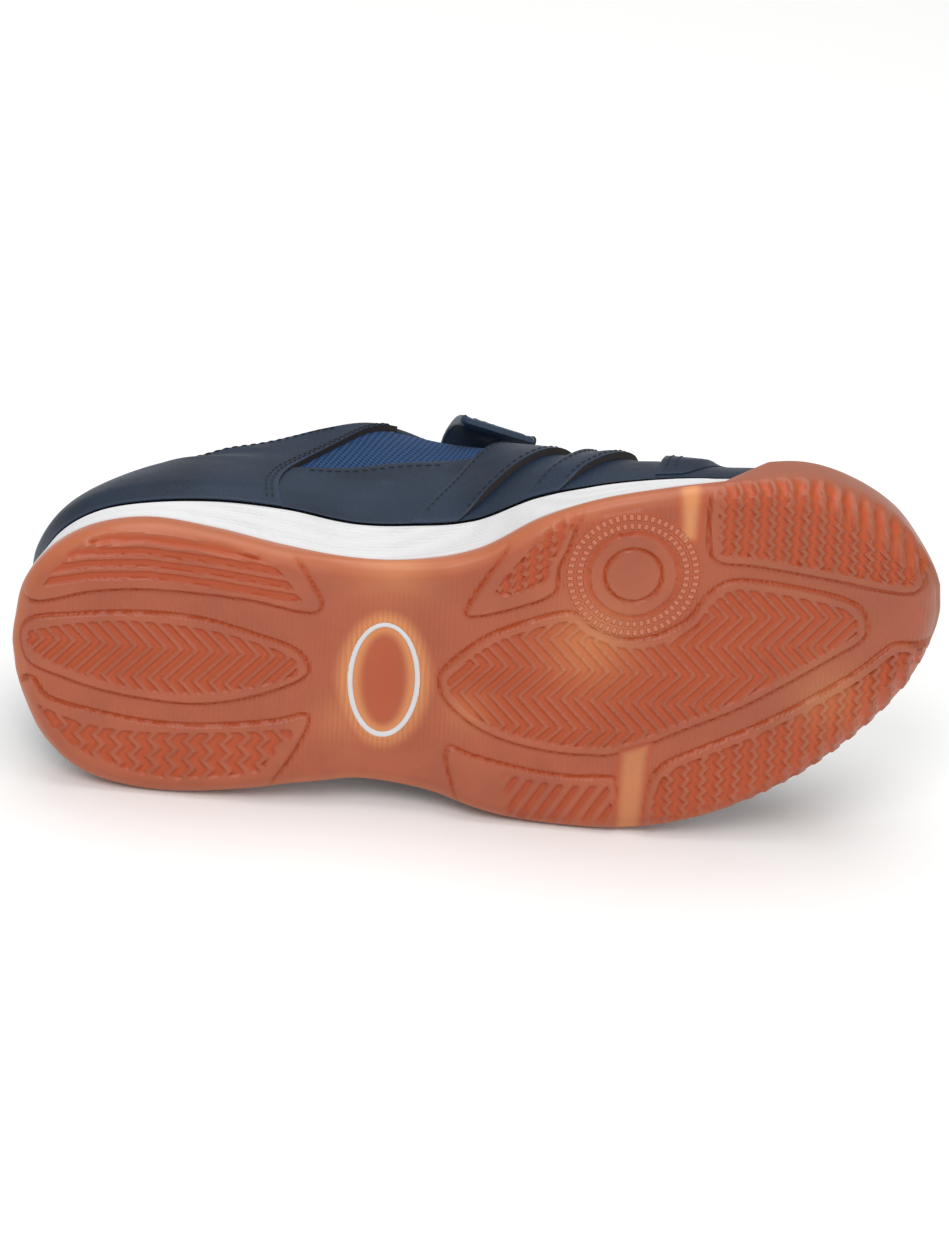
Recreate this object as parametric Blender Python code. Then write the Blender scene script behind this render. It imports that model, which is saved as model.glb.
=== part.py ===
# Left indoor court shoe with a gum outsole, foam midsole and one closing strap.
# It is modelled upright (X from heel to toe, Y to the lateral side, Z up) and then
# laid on its lateral side, where the sole edge and the upper touch the floor.
import math

import bmesh
import bpy
import numpy as np
from mathutils import Matrix, Vector

# Driving sizes in metres
SHOE_LENGTH = 0.234
BALL_WIDTH = 0.092
THROAT_HEIGHT = 0.080
SOLE_HEIGHT = 0.0195
GAP = 0.0003
FACET_ALLOWANCE = 0.0007

OUTSOLE_THICKNESS = 0.0052
LIP_THICKNESS = 0.0026
SOLE_EDGE_RADIUS = 0.0045
TOE_EDGE_RADIUS = 0.0090
TOE_SPRING = 0.0110
HEEL_LIFT = 0.0020
ARCH_LIFT = 0.0020
LUG_HEIGHT = 0.0010
MIDSOLE_STEP = 0.0005
MIDSOLE_STEP_COUNT = 3

UPPER_WALL = 0.0020
INSOLE_THICKNESS = 0.0030
TONGUE_THICKNESS = 0.0050
TONGUE_RISE = 0.0110
TONGUE_CLEARANCE = 0.0013
TONGUE_LEAN = (-0.45, 0.0, 0.90)
TONGUE_TAPER = 0.10
TONGUE_EDGE = 0.35
OVERLAY_THICKNESS = 0.0011
STRAP_WIDTH = 0.0205
STRAP_THICKNESS = 0.0028

OVAL_HALF_ACROSS = 0.0160
OVAL_HALF_ALONG = 0.0092
OVAL_RING_WIDTH = 0.0014
OVAL_TURN = math.radians(6.0)
OVAL_PLACE = (0.393, 0.130)
PIVOT_RADIUS = 0.0172
PIVOT_RINGS = ((1.00, 0.70), (0.64, 0.43), (0.38, 0.00))
PIVOT_PLACE = (0.666, -0.137)

LOOP_POINTS = 88
UPPER_RINGS = 9

# Sole sections from heel to toe. along is a share of SHOE_LENGTH, the others are
# shares of BALL_WIDTH: the edge's distance to the medial and lateral side of the
# X axis, and how far the feather line lies inside that edge on each side.
SOLE_SECTIONS = (
    # along, medial, lateral, inset_medial, inset_lateral
    (0.0013, 0.049, 0.027, 0.050, 0.050),
    (0.0077, 0.125, 0.118, 0.046, 0.050),
    (0.0222, 0.234, 0.225, 0.038, 0.046),
    (0.0556, 0.324, 0.330, 0.026, 0.042),
    (0.1026, 0.376, 0.392, 0.020, 0.042),
    (0.1624, 0.383, 0.426, 0.013, 0.040),
    (0.2308, 0.336, 0.434, -0.021, 0.034),
    (0.2991, 0.272, 0.428, -0.045, 0.026),
    (0.3675, 0.220, 0.443, -0.040, 0.024),
    (0.4359, 0.201, 0.496, -0.044, 0.030),
    (0.5043, 0.223, 0.572, -0.030, 0.036),
    (0.5726, 0.302, 0.617, -0.017, 0.040),
    (0.6410, 0.347, 0.641, -0.003, 0.040),
    (0.7180, 0.362, 0.628, 0.010, 0.034),
    (0.7950, 0.361, 0.578, 0.032, 0.032),
    (0.8590, 0.340, 0.512, 0.032, 0.032),
    (0.9145, 0.265, 0.428, 0.032, 0.032),
    (0.9594, 0.160, 0.328, 0.032, 0.032),
    (0.9890, 0.030, 0.205, 0.032, 0.032),
    (0.9995, -0.050, 0.119, 0.032, 0.032),
)

# Top line of the upper, a row for each sole section: round the collar, along the
# throat and round its front end. height is a share of THROAT_HEIGHT, the bellies
# are how far the wall swells outwards on each side as shares of BALL_WIDTH.
TOP_SECTIONS = (
    # along, medial, lateral, height, belly_medial, belly_lateral
    (0.0750, 0.005, 0.044, 0.806, 0.002, 0.002),
    (0.0780, 0.038, 0.084, 0.805, 0.002, 0.002),
    (0.0870, 0.080, 0.130, 0.799, 0.002, 0.002),
    (0.1040, 0.127, 0.185, 0.781, 0.003, 0.002),
    (0.1340, 0.202, 0.252, 0.750, 0.006, 0.002),
    (0.1710, 0.277, 0.308, 0.728, 0.012, 0.002),
    (0.2265, 0.306, 0.333, 0.722, 0.014, 0.002),
    (0.2860, 0.310, 0.338, 0.775, 0.016, 0.004),
    (0.3420, 0.298, 0.330, 0.900, 0.020, 0.006),
    (0.3880, 0.258, 0.318, 1.020, 0.024, 0.008),
    (0.4400, 0.205, 0.300, 1.040, 0.022, 0.008),
    (0.4960, 0.150, 0.285, 0.950, 0.018, 0.006),
    (0.5510, 0.092, 0.268, 0.830, 0.010, 0.004),
    (0.5950, 0.030, 0.248, 0.725, 0.004, 0.002),
    (0.6260, -0.028, 0.213, 0.665, 0.000, 0.000),
    (0.6390, -0.060, 0.185, 0.642, 0.000, 0.000),
    (0.6450, -0.082, 0.165, 0.633, 0.000, 0.000),
    (0.6487, -0.098, 0.148, 0.628, 0.000, 0.000),
    (0.6500, -0.111, 0.135, 0.625, 0.000, 0.000),
    (0.6504, -0.120, 0.127, 0.624, 0.000, 0.000),
)

# Heights on the sole's side, as shares of SOLE_HEIGHT above the tread surface.
SIDE_HEIGHTS = (
    # along, gum_edge, foam_edge
    (0.000, 0.44, 0.98),
    (0.200, 0.44, 1.00),
    (0.360, 0.46, 1.06),
    (0.500, 0.41, 0.93),
    (0.620, 0.36, 0.70),
    (0.770, 0.36, 0.65),
    (0.820, 0.90, 0.66),
    (0.900, 0.98, 0.66),
    (1.000, 0.98, 0.66),
)

# Tread pads: corners of each outline, along as a share of SHOE_LENGTH and across
# (positive to the lateral side) as a share of BALL_WIDTH. Pads that wrap over the
# sole's edge have corners outside it.
TREAD_PADS = {
    "heel_medial": (
        (0.025, -0.199), (0.094, -0.211), (0.158, -0.202), (0.254, -0.154), (0.329, -0.095),
        (0.323, -0.186), (0.309, -0.262), (0.285, -0.350), (0.210, -0.470), (0.080, -0.470),
        (0.020, -0.330)),
    "heel_centre": (
        (0.021, -0.128), (0.075, -0.139), (0.139, -0.130), (0.203, -0.099), (0.266, -0.032),
        (0.300, 0.013), (0.312, 0.061), (0.306, 0.096), (0.260, 0.134), (0.210, 0.149),
        (0.162, 0.136), (0.098, 0.090), (0.051, 0.034), (0.016, -0.024)),
    "heel_lateral": (
        (0.015, 0.041), (0.032, 0.100), (0.079, 0.152), (0.143, 0.202), (0.208, 0.224),
        (0.273, 0.225), (0.308, 0.217), (0.291, 0.308), (0.262, 0.410), (0.245, 0.520),
        (0.130, 0.520), (0.030, 0.420), (-0.020, 0.150)),
    "ball_medial": (
        (0.548, -0.290), (0.492, -0.083), (0.497, -0.053), (0.541, -0.070), (0.580, -0.104),
        (0.586, -0.175), (0.601, -0.250), (0.618, -0.400), (0.555, -0.420)),
    "ball_centre": (
        (0.454, 0.163), (0.460, 0.105), (0.504, 0.023), (0.552, -0.018), (0.598, -0.035),
        (0.620, 0.015), (0.655, 0.058), (0.690, 0.053), (0.722, 0.015), (0.744, -0.050),
        (0.770, -0.085), (0.806, -0.068), (0.843, -0.037), (0.880, 0.001), (0.904, 0.040),
        (0.912, 0.089), (0.907, 0.137), (0.872, 0.179), (0.779, 0.283), (0.710, 0.338),
        (0.647, 0.390), (0.600, 0.389), (0.543, 0.354), (0.497, 0.297), (0.464, 0.218)),
    "ball_lateral": (
        (0.456, 0.349), (0.483, 0.378), (0.541, 0.434), (0.587, 0.463), (0.621, 0.471),
        (0.634, 0.500), (0.631, 0.720), (0.540, 0.720), (0.475, 0.600), (0.458, 0.450)),
    "toe_lateral": (
        (0.661, 0.597), (0.672, 0.496), (0.685, 0.453), (0.708, 0.424), (0.801, 0.349),
        (0.894, 0.247), (0.930, 0.192), (0.949, 0.173), (0.990, 0.210), (1.040, 0.270),
        (0.980, 0.550), (0.820, 0.720), (0.670, 0.720)),
    "toe_medial": (
        (0.755, -0.378), (0.750, -0.212), (0.758, -0.154), (0.798, -0.128), (0.881, -0.055),
        (0.927, -0.008), (0.968, 0.021), (0.990, -0.020), (1.040, -0.080), (0.960, -0.380),
        (0.860, -0.520), (0.760, -0.520)),
}

# Overlays on the upper between two edge lines. Each edge is given in section
# numbers at the feather line, half way up and at its top; low and high are the
# shares of the wall's profile that the overlay covers.
OVERLAYS = {
    # name: (side, rear edge, front edge, low, high)
    "quarter_panel_medial": ("medial", (7.02, 7.52, 10.12), (8.83, 10.58, 11.88), 0.02, 0.40),
    "quarter_panel_lateral": ("lateral", (7.02, 7.52, 10.12), (8.83, 10.58, 11.88), 0.02, 0.40),
    "band_rear_medial": ("medial", (8.95, 10.70, 12.00), (9.75, 11.90, 12.90), 0.02, 0.94),
    "band_rear_lateral": ("lateral", (8.95, 10.70, 12.00), (9.75, 11.90, 12.90), 0.02, 0.94),
    "band_front_medial": ("medial", (10.75, 12.35, 13.10), (11.35, 13.05, 14.00), 0.02, 0.92),
    "band_front_lateral": ("lateral", (10.75, 12.35, 13.10), (11.35, 13.05, 14.00), 0.02, 0.92),
}
WALL_RISE = 0.50
HEEL_CROWN = 0.22
VAMP_CROWN = 0.50
CROWN_DROP = 0.06
HEEL_PANEL_EDGE = (6.90, 7.40, 10.00)
HEEL_PANEL_SPAN = (0.02, 0.93)
TOE_OVERLAY_EDGE = (12.70, 13.50, 14.60)
TOE_OVERLAY_SPAN = (0.05, 0.30, 0.62)
STRAP_SECTION = 11.00
STRAP_CLEARANCE = 0.0020
STRAP_ENDS = (0.66, 0.58)
STRAP_ARCH = 0.0040
STRAP_SLOPE = 0.60

COLOURS = {
    # part: (red, green, blue, roughness)
    "gum": (0.46, 0.14, 0.07, 0.45),
    "foam": (0.82, 0.82, 0.80, 0.60),
    "navy": (0.030, 0.050, 0.095, 0.48),
    "mesh": (0.012, 0.085, 0.270, 0.75),
    "lining": (0.03, 0.04, 0.06, 0.90),
}


def smooth_step(value, start, end):
    share = min(1.0, max(0.0, (value - start) / (end - start)))
    return share * share * (3.0 - 2.0 * share)


def closed_curve(rows, position):
    # Smooth closed curve through the rows, read at a fractional row number.
    count = len(rows)
    base = math.floor(position)
    t = position - base
    before, start, end, after = (rows[(base + k) % count] for k in (-1, 0, 1, 2))
    return 0.5 * (2.0 * start + (end - before) * t
                  + (2.0 * before - 5.0 * start + 4.0 * end - after) * t ** 2
                  + (3.0 * start - before - 3.0 * end + after) * t ** 3)


def control_rows():
    # Columns: sole x, y, feather inset, top x, y, z, belly; medial heel to toe, then back.
    medial = []
    lateral = []
    for sole, top in zip(SOLE_SECTIONS, TOP_SECTIONS):
        along, top_along = sole[0] * SHOE_LENGTH, top[0] * SHOE_LENGTH
        height = top[3] * THROAT_HEIGHT
        medial.append((along, -sole[1] * BALL_WIDTH, sole[3] * BALL_WIDTH,
                       top_along, -top[1] * BALL_WIDTH, height, top[4] * BALL_WIDTH))
        lateral.append((along, sole[2] * BALL_WIDTH, sole[4] * BALL_WIDTH,
                        top_along, top[2] * BALL_WIDTH, height, top[5] * BALL_WIDTH))
    return np.array(medial + lateral[::-1])


ROWS = control_rows()
SECTION_COUNT = len(SOLE_SECTIONS)


def row_position(side, section):
    # Fractional row number of a section on one side of the closed loop.
    return section if side == "medial" else 2 * SECTION_COUNT - 1 - section


def edge_normal(position):
    ahead = closed_curve(ROWS, position + 0.05)[:2]
    behind = closed_curve(ROWS, position - 0.05)[:2]
    direction = (ahead - behind) / np.linalg.norm(ahead - behind)
    return np.array((direction[1], -direction[0]))


def tread_height(x):
    along = x / SHOE_LENGTH
    spring = TOE_SPRING * max(0.0, (along - 0.66) / 0.34) ** 1.8
    heel = HEEL_LIFT * max(0.0, 1.0 - along / 0.05) ** 2
    arch = ARCH_LIFT * smooth_step(along, 0.30, 0.36) * (1.0 - smooth_step(along, 0.42, 0.48))
    return spring + heel + arch


def side_height(x, column):
    table = np.array(SIDE_HEIGHTS)
    share = np.interp(x / SHOE_LENGTH, table[:, 0], table[:, column])
    spring = TOE_SPRING * max(0.0, (x / SHOE_LENGTH - 0.66) / 0.34) ** 1.8
    return share * SOLE_HEIGHT + spring


def edge_radius(x):
    return SOLE_EDGE_RADIUS + (TOE_EDGE_RADIUS - SOLE_EDGE_RADIUS) * smooth_step(
        x / SHOE_LENGTH, 0.77, 0.96)


def sole_edge(position, inset=0.0):
    return closed_curve(ROWS, position)[:2] - edge_normal(position) * inset


def feather(position):
    row = closed_curve(ROWS, position)
    x, y = sole_edge(position, row[2])
    return np.array((x, y, side_height(x, 2)))


def loop_positions():
    # Medial heel to toe and back on the lateral side, in pairs across the sole.
    half = LOOP_POINTS // 2
    medial = [k * (SECTION_COUNT - 1) / (half - 1) for k in range(half)]
    return medial + [row_position("lateral", section) for section in reversed(medial)]


POSITIONS = loop_positions()


def upper_point(position, t, offset=0.0):
    # Outer surface of the upper: t is 0 at the feather line and 1 at the top line.
    row = closed_curve(ROWS, position)
    low = feather(position) + np.array((0.0, 0.0, GAP))
    top = row[3:6]
    outwards = edge_normal(position)
    rise = top[2] - low[2]
    reach = low[:2] - top[:2]
    above = low + np.array((*(outwards * row[6]), WALL_RISE * rise))
    crown = HEEL_CROWN + (VAMP_CROWN - HEEL_CROWN) * smooth_step(row[0] / SHOE_LENGTH, 0.20, 0.50)
    inside = top + np.array((*(reach * crown), -CROWN_DROP * rise))
    s = 1.0 - t
    point = s ** 3 * low + 3 * s * s * t * above + 3 * s * t * t * inside + t ** 3 * top
    if offset:
        point = point + offset * upper_normal(position, t)
    return point


def upper_normal(position, t):
    step = 0.02
    t = min(max(t, step), 1.0 - step)
    around = upper_point(position + 0.1, t) - upper_point(position - 0.1, t)
    up = upper_point(position, t + step) - upper_point(position, t - step)
    normal = np.cross(around, up)
    return normal / np.linalg.norm(normal)


def make_material(name):
    red, green, blue, roughness = COLOURS[name]
    material = bpy.data.materials.new(name)
    material.use_nodes = True
    shader = material.node_tree.nodes["Principled BSDF"]
    shader.inputs["Base Color"].default_value = (red, green, blue, 1.0)
    shader.inputs["Roughness"].default_value = roughness
    shader.inputs["Metallic"].default_value = 0.0
    return material


def add_object(name, points, faces, material=None):
    mesh = bpy.data.meshes.new(name)
    mesh.from_pydata([tuple(p) for p in points], [], faces)
    work = bmesh.new()
    work.from_mesh(mesh)
    bmesh.ops.remove_doubles(work, verts=work.verts, dist=1e-6)
    bmesh.ops.recalc_face_normals(work, faces=work.faces)
    work.to_mesh(mesh)
    work.free()
    mesh.shade_smooth()
    mesh.set_sharp_from_angle(angle=math.radians(40))
    item = bpy.data.objects.new(name, mesh)
    bpy.context.scene.collection.objects.link(item)
    if material:
        mesh.materials.append(material)
    return item


def ring_faces(ring_count, size, first=0):
    faces = []
    for ring in range(ring_count - 1):
        for k in range(size):
            a = first + ring * size + k
            b = first + ring * size + (k + 1) % size
            faces.append((a, b, b + size, a + size))
    return faces


def ladder_faces(first, size):
    # Cap of a loop whose points lie in pairs across it.
    return [(first + k, first + k + 1, first + size - 2 - k, first + size - 1 - k)
            for k in range(size // 2 - 1)]


def capped_rings(name, rings, material):
    size = len(rings[0])
    faces = ring_faces(len(rings), size)
    faces += ladder_faces(0, size) + ladder_faces((len(rings) - 1) * size, size)
    return add_object(name, [p for ring in rings for p in ring], faces, material)


def rounded_edge_rings(lift, outset):
    # Bottom rings from the flat of the tread out to the sole's side.
    rings = []
    for angle in (0, 30, 60, 90):
        ring = []
        for position in POSITIONS:
            x = sole_edge(position)[0]
            radius = edge_radius(x)
            inset = radius * (1.0 - math.sin(math.radians(angle)))
            fade = lift * (1.0 - 1.5 * (angle / 90.0) ** 2)
            x, y = sole_edge(position, inset - outset * (angle == 90))
            ring.append((x, y, tread_height(x) + fade + radius * (1.0 - math.cos(math.radians(angle)))))
        rings.append(ring)
    return rings


def side_ring(inset, height_of):
    ring = []
    for position in POSITIONS:
        x, y = sole_edge(position, inset)
        ring.append((x, y, height_of(x)))
    return ring


def cutter(item):
    item.hide_render = True
    item.display_type = "WIRE"
    return item


def add_boolean(target, other, operation):
    step = target.modifiers.new(other.name, "BOOLEAN")
    step.operation = operation
    step.solver = "EXACT"
    step.object = other


def prism(name, outline, low, high, hole=None):
    # Upright prism over an outline, with an optional hole of as many points.
    size = len(outline)
    if hole:
        rings = [[(x, y, z) for x, y in loop]
                 for loop, z in ((outline, low), (outline, high), (hole, high), (hole, low))]
        rings.append(rings[0])
        return add_object(name, [p for ring in rings for p in ring], ring_faces(5, size))
    points = [(x, y, z) for z in (low, high) for x, y in outline]
    faces = ring_faces(2, size) + [tuple(range(size)), tuple(range(size, 2 * size))]
    return add_object(name, points, faces)


def circle(radius, count=32):
    centre_x, centre_y = PIVOT_PLACE[0] * SHOE_LENGTH, PIVOT_PLACE[1] * BALL_WIDTH
    return [(centre_x + radius * math.cos(math.tau * k / count),
             centre_y + radius * math.sin(math.tau * k / count)) for k in range(count)]


def oval(grow, count=36):
    # Outline of the oval at the waist, grown or shrunk evenly.
    centre = Vector((OVAL_PLACE[0] * SHOE_LENGTH, OVAL_PLACE[1] * BALL_WIDTH))
    turn = Matrix.Rotation(OVAL_TURN, 2)
    points = []
    for k in range(count):
        angle = math.tau * k / count
        spot = Vector(((OVAL_HALF_ALONG + grow) * math.cos(angle),
                       (OVAL_HALF_ACROSS + grow) * math.sin(angle)))
        points.append(tuple(centre + turn @ spot))
    return points


def tread_cutter():
    # Everything under the channel floors, apart from the pads.
    rings = rounded_edge_rings(LUG_HEIGHT, 0.006)
    rings.append([(x, y, -0.02) for x, y, _ in rings[-1]])
    body = cutter(capped_rings("channel_cutter", rings, None))
    low, high = -0.03, 0.05
    for name, corners in TREAD_PADS.items():
        rows = np.array([(a * SHOE_LENGTH, c * BALL_WIDTH) for a, c in corners])
        outline = [tuple(closed_curve(rows, k / 2)) for k in range(2 * len(rows))]
        add_boolean(body, cutter(prism("pad_" + name, outline, low, high)), "DIFFERENCE")
    for number, (outer, inner) in enumerate(PIVOT_RINGS):
        hole = circle(PIVOT_RADIUS * inner) if inner else None
        ring = prism(f"pivot_{number}", circle(PIVOT_RADIUS * outer), low, high, hole)
        add_boolean(body, cutter(ring), "DIFFERENCE")
    return body


def base_height(x):
    return tread_height(x) + OUTSOLE_THICKNESS


def make_outsole(material):
    rings = rounded_edge_rings(0.0, 0.0)
    rings.append(side_ring(0.0006, lambda x: side_height(x, 1)))
    rings.append(side_ring(LIP_THICKNESS, lambda x: side_height(x, 1)))
    rings.append(side_ring(LIP_THICKNESS, base_height))
    outsole = capped_rings("outsole", rings, material)
    add_boolean(outsole, tread_cutter(), "DIFFERENCE")
    hole = cutter(prism("oval_hole", oval(GAP), -0.01, 0.02))
    add_boolean(outsole, hole, "DIFFERENCE")
    return outsole


def make_oval_insert(material):
    low = ARCH_LIFT + LUG_HEIGHT
    high = ARCH_LIFT + OUTSOLE_THICKNESS
    insert = prism("oval_insert", oval(-OVAL_RING_WIDTH - GAP), low, high)
    insert.data.materials.append(material)
    return insert


def make_midsole(material):
    def inside_toe(x):
        return smooth_step(x / SHOE_LENGTH, 0.745, 0.770)

    def step_height(x):
        over_lip = side_height(x, 1) + GAP
        in_wall = side_height(x, 2) - 0.004
        return over_lip + (in_wall - over_lip) * inside_toe(x)

    lower_inset = LIP_THICKNESS + GAP + 0.0002
    rings = [side_ring(lower_inset, lambda x: base_height(x) + GAP),
             side_ring(lower_inset, step_height)]
    levels = 2 * MIDSOLE_STEP_COUNT
    for level in range(levels + 1):
        ring = []
        for position in POSITIONS:
            row = closed_curve(ROWS, position)
            x = sole_edge(position)[0]
            tucked = inside_toe(x)
            start = MIDSOLE_STEP * (1.0 - tucked) + (LIP_THICKNESS + GAP) * tucked
            share = level / levels
            inset = start + (row[2] - start) * share
            inset += MIDSOLE_STEP * (level % 2) * (1.0 - tucked)
            x, y = sole_edge(position, inset)
            low, high = step_height(x), side_height(x, 2)
            ring.append((x, y, low + (high - low) * share))
        rings.append(ring)
    midsole = capped_rings("midsole", rings, material)
    boss = prism("oval_boss", oval(0.0), ARCH_LIFT + LUG_HEIGHT / 2,
                 ARCH_LIFT + OUTSOLE_THICKNESS + 0.002, oval(-OVAL_RING_WIDTH))
    add_boolean(midsole, cutter(boss), "UNION")
    return midsole


def make_insole(material):
    rings = []
    for height in (0.0, INSOLE_THICKNESS):
        ring = []
        for position in POSITIONS:
            row = closed_curve(ROWS, position)
            x, y = sole_edge(position, row[2] + UPPER_WALL + 0.0012)
            ring.append((x, y, side_height(x, 2) + GAP + height))
        rings.append(ring)
    return capped_rings("insole", rings, material)


def make_upper(material):
    rings = []
    for k in range(UPPER_RINGS):
        rings.append([upper_point(position, k / (UPPER_RINGS - 1)) for position in POSITIONS])
    for k in reversed(range(UPPER_RINGS)):
        rings.append([upper_point(position, k / (UPPER_RINGS - 1), -UPPER_WALL)
                      for position in POSITIONS])
    for k, position in enumerate(POSITIONS):
        rings[-1][k][2] = rings[0][k][2]
    rings.append(rings[0])
    size = len(POSITIONS)
    return add_object("upper", [p for ring in rings for p in ring],
                      ring_faces(len(rings), size), material)


def make_patch(name, columns, material):
    # Solid patch over the upper: columns of (position, t), all of one length.
    depth = len(columns[0])
    offset = GAP + FACET_ALLOWANCE
    sheets = [[upper_point(position, t, height) for column in columns for position, t in column]
              for height in (offset, offset + OVERLAY_THICKNESS)]
    size = len(sheets[0])
    faces = []
    for k in range(len(columns) - 1):
        for j in range(depth - 1):
            a = k * depth + j
            quad = (a, a + 1, a + depth + 1, a + depth)
            faces.append(quad)
            faces.append(tuple(size + v for v in reversed(quad)))
    last = (len(columns) - 1) * depth
    border = list(range(depth)) + [k * depth + depth - 1 for k in range(1, len(columns))]
    border += [last + j for j in range(depth - 2, -1, -1)]
    border += [k * depth for k in range(len(columns) - 2, 0, -1)]
    for a, b in zip(border, border[1:] + border[:1]):
        faces.append((a, b, size + b, size + a))
    return add_object(name, sheets[0] + sheets[1], faces, material)


def edge_section(edge, t):
    # Section number of an overlay's edge line at the height t.
    low, middle, high = edge
    return (low * (1 - t) * (1 - 2 * t) + middle * 4 * t * (1 - t) + high * t * (2 * t - 1))


def make_overlay(name, material):
    side, rear, front, low, high = OVERLAYS[name]
    columns = []
    for k in range(6):
        across = k / 5
        column = []
        for j in range(9):
            t = low + (high - low) * j / 8
            start = edge_section(rear, t)
            section = start + (edge_section(front, t) - start) * across
            column.append((row_position(side, section), t))
        columns.append(column)
    return make_patch(name, columns, material)


def make_heel_panel(material):
    columns = []
    low, high = HEEL_PANEL_SPAN
    for k in range(25):
        across = -1.0 + k / 12
        column = []
        for j in range(8):
            t = low + (high - low) * j / 7
            edge = edge_section(HEEL_PANEL_EDGE, t)
            column.append((-0.5 + across * (edge + 0.5), t))
        columns.append(column)
    return make_patch("heel_panel", columns, material)


def make_toe_overlay(material):
    # Runs over the vamp's front from side to side, above the sole's toe wrap.
    columns = []
    low, above_wrap, high = TOE_OVERLAY_SPAN
    middle = SECTION_COUNT - 0.5
    for k in range(33):
        across = -1.0 + k / 16
        start = low + (above_wrap - low) * smooth_step(1.0 - abs(across), 0.0, 0.12)
        column = []
        for j in range(7):
            t = start + (high - start) * j / 6
            edge = edge_section(TOE_OVERLAY_EDGE, t)
            column.append((middle + across * (middle - edge), t))
        columns.append(column)
    return make_patch("toe_overlay", columns, material)


def tongue_arc(section, lift):
    # Arc across the throat under the upper's wall, from the medial side to the lateral.
    under = -UPPER_WALL - TONGUE_CLEARANCE
    ends = [upper_point(row_position(side, section), 0.84, under) for side in ("medial", "lateral")]
    edges = [upper_point(row_position(side, section), 1.0, under) for side in ("medial", "lateral")]
    crown = (edges[0] + edges[1]) / 2.0
    arc = []
    for k in range(9):
        t = k / 8
        control = 2.0 * crown - (ends[0] + ends[1]) / 2.0
        point = (1 - t) ** 2 * ends[0] + 2 * t * (1 - t) * control + t * t * ends[1]
        arc.append(point + np.array((0.0, 0.0, lift)))
    return arc


def make_tongue(material):
    sections = (13.6, 12.8, 12.0, 11.2, 10.4, 9.7)
    arcs = [tongue_arc(section, 0.0) for section in sections]
    last = np.array(arcs[-1])
    lean = np.array(TONGUE_LEAN)
    for k in (1, 2, 3):
        free = last + lean * TONGUE_RISE * k / 3
        centre = free.mean(axis=0)
        arcs.append(centre + (free - centre) * (1.0 - TONGUE_TAPER * (k + 1)))
    rings = []
    for k, arc in enumerate(arcs):
        arc = np.array(arc)
        ahead = np.array(arcs[min(k + 1, len(arcs) - 1)]) - np.array(arcs[max(k - 1, 0)])
        inner = []
        for j in range(len(arc)):
            across = arc[min(j + 1, len(arc) - 1)] - arc[max(j - 1, 0)]
            normal = np.cross(ahead[j], across)
            normal /= np.linalg.norm(normal)
            edge = TONGUE_EDGE + (1.0 - TONGUE_EDGE) * math.sin(math.pi * j / (len(arc) - 1))
            inner.append(arc[j] + normal * TONGUE_THICKNESS * edge)
        rings.append(list(arc) + inner[::-1])
    size = len(rings[0])
    points = [p for ring in rings for p in ring]
    faces = ring_faces(len(rings), size)
    faces += ladder_faces(0, size) + ladder_faces((len(rings) - 1) * size, size)
    return add_object("tongue", points, faces, material)


def strap_run(side, end):
    # Places of the strap's centre line from its end up one side to the throat.
    level = GAP + OVERLAY_THICKNESS + STRAP_CLEARANCE
    row = row_position(side, STRAP_SECTION)
    return [upper_point(row, end + (1.0 - end) * k / 4, level) for k in range(5)]


def make_strap(material):
    # Strap over the throat: down each side on the overlays, in an arch over the gap.
    medial = strap_run("medial", STRAP_ENDS[0])
    lateral = strap_run("lateral", STRAP_ENDS[1])[::-1]
    middle = (medial[-1] + lateral[0]) / 2.0
    control = middle + np.array((0.0, 0.0, 2.0 * STRAP_ARCH))
    bridge = [(1 - t) ** 2 * medial[-1] + 2 * t * (1 - t) * control + t * t * lateral[0]
              for t in (0.25, 0.5, 0.75)]
    centre = np.array(medial + bridge + lateral)
    ahead = np.array((1.0, 0.0, -STRAP_SLOPE))
    half, round_off = STRAP_WIDTH / 2, STRAP_THICKNESS * 0.3
    profile = ((-half, 0.0), (half, 0.0), (half, STRAP_THICKNESS - round_off),
               (half - round_off, STRAP_THICKNESS), (round_off - half, STRAP_THICKNESS),
               (-half, STRAP_THICKNESS - round_off))
    rings = []
    for k, point in enumerate(centre):
        across = centre[min(k + 1, len(centre) - 1)] - centre[max(k - 1, 0)]
        across /= np.linalg.norm(across)
        width = ahead - across * np.dot(ahead, across)
        width /= np.linalg.norm(width)
        up = np.cross(width, across)
        rings.append([point + width * w + up * h for w, h in profile])
    points = [p for ring in rings for p in ring]
    size = len(profile)
    faces = ring_faces(len(rings), size)
    faces += [tuple(range(size)), tuple(range(len(points) - size, len(points)))]
    return add_object("closing_strap", points, faces, material)


def volume_centre(items):
    total, moment = 0.0, Vector()
    for item in items:
        mesh = item.data
        mesh.calc_loop_triangles()
        for triangle in mesh.loop_triangles:
            a, b, c = (mesh.vertices[v].co for v in triangle.vertices)
            part = a.dot(b.cross(c)) / 6.0
            total += part
            moment += part * (a + b + c) / 4.0
    return moment / total


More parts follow.
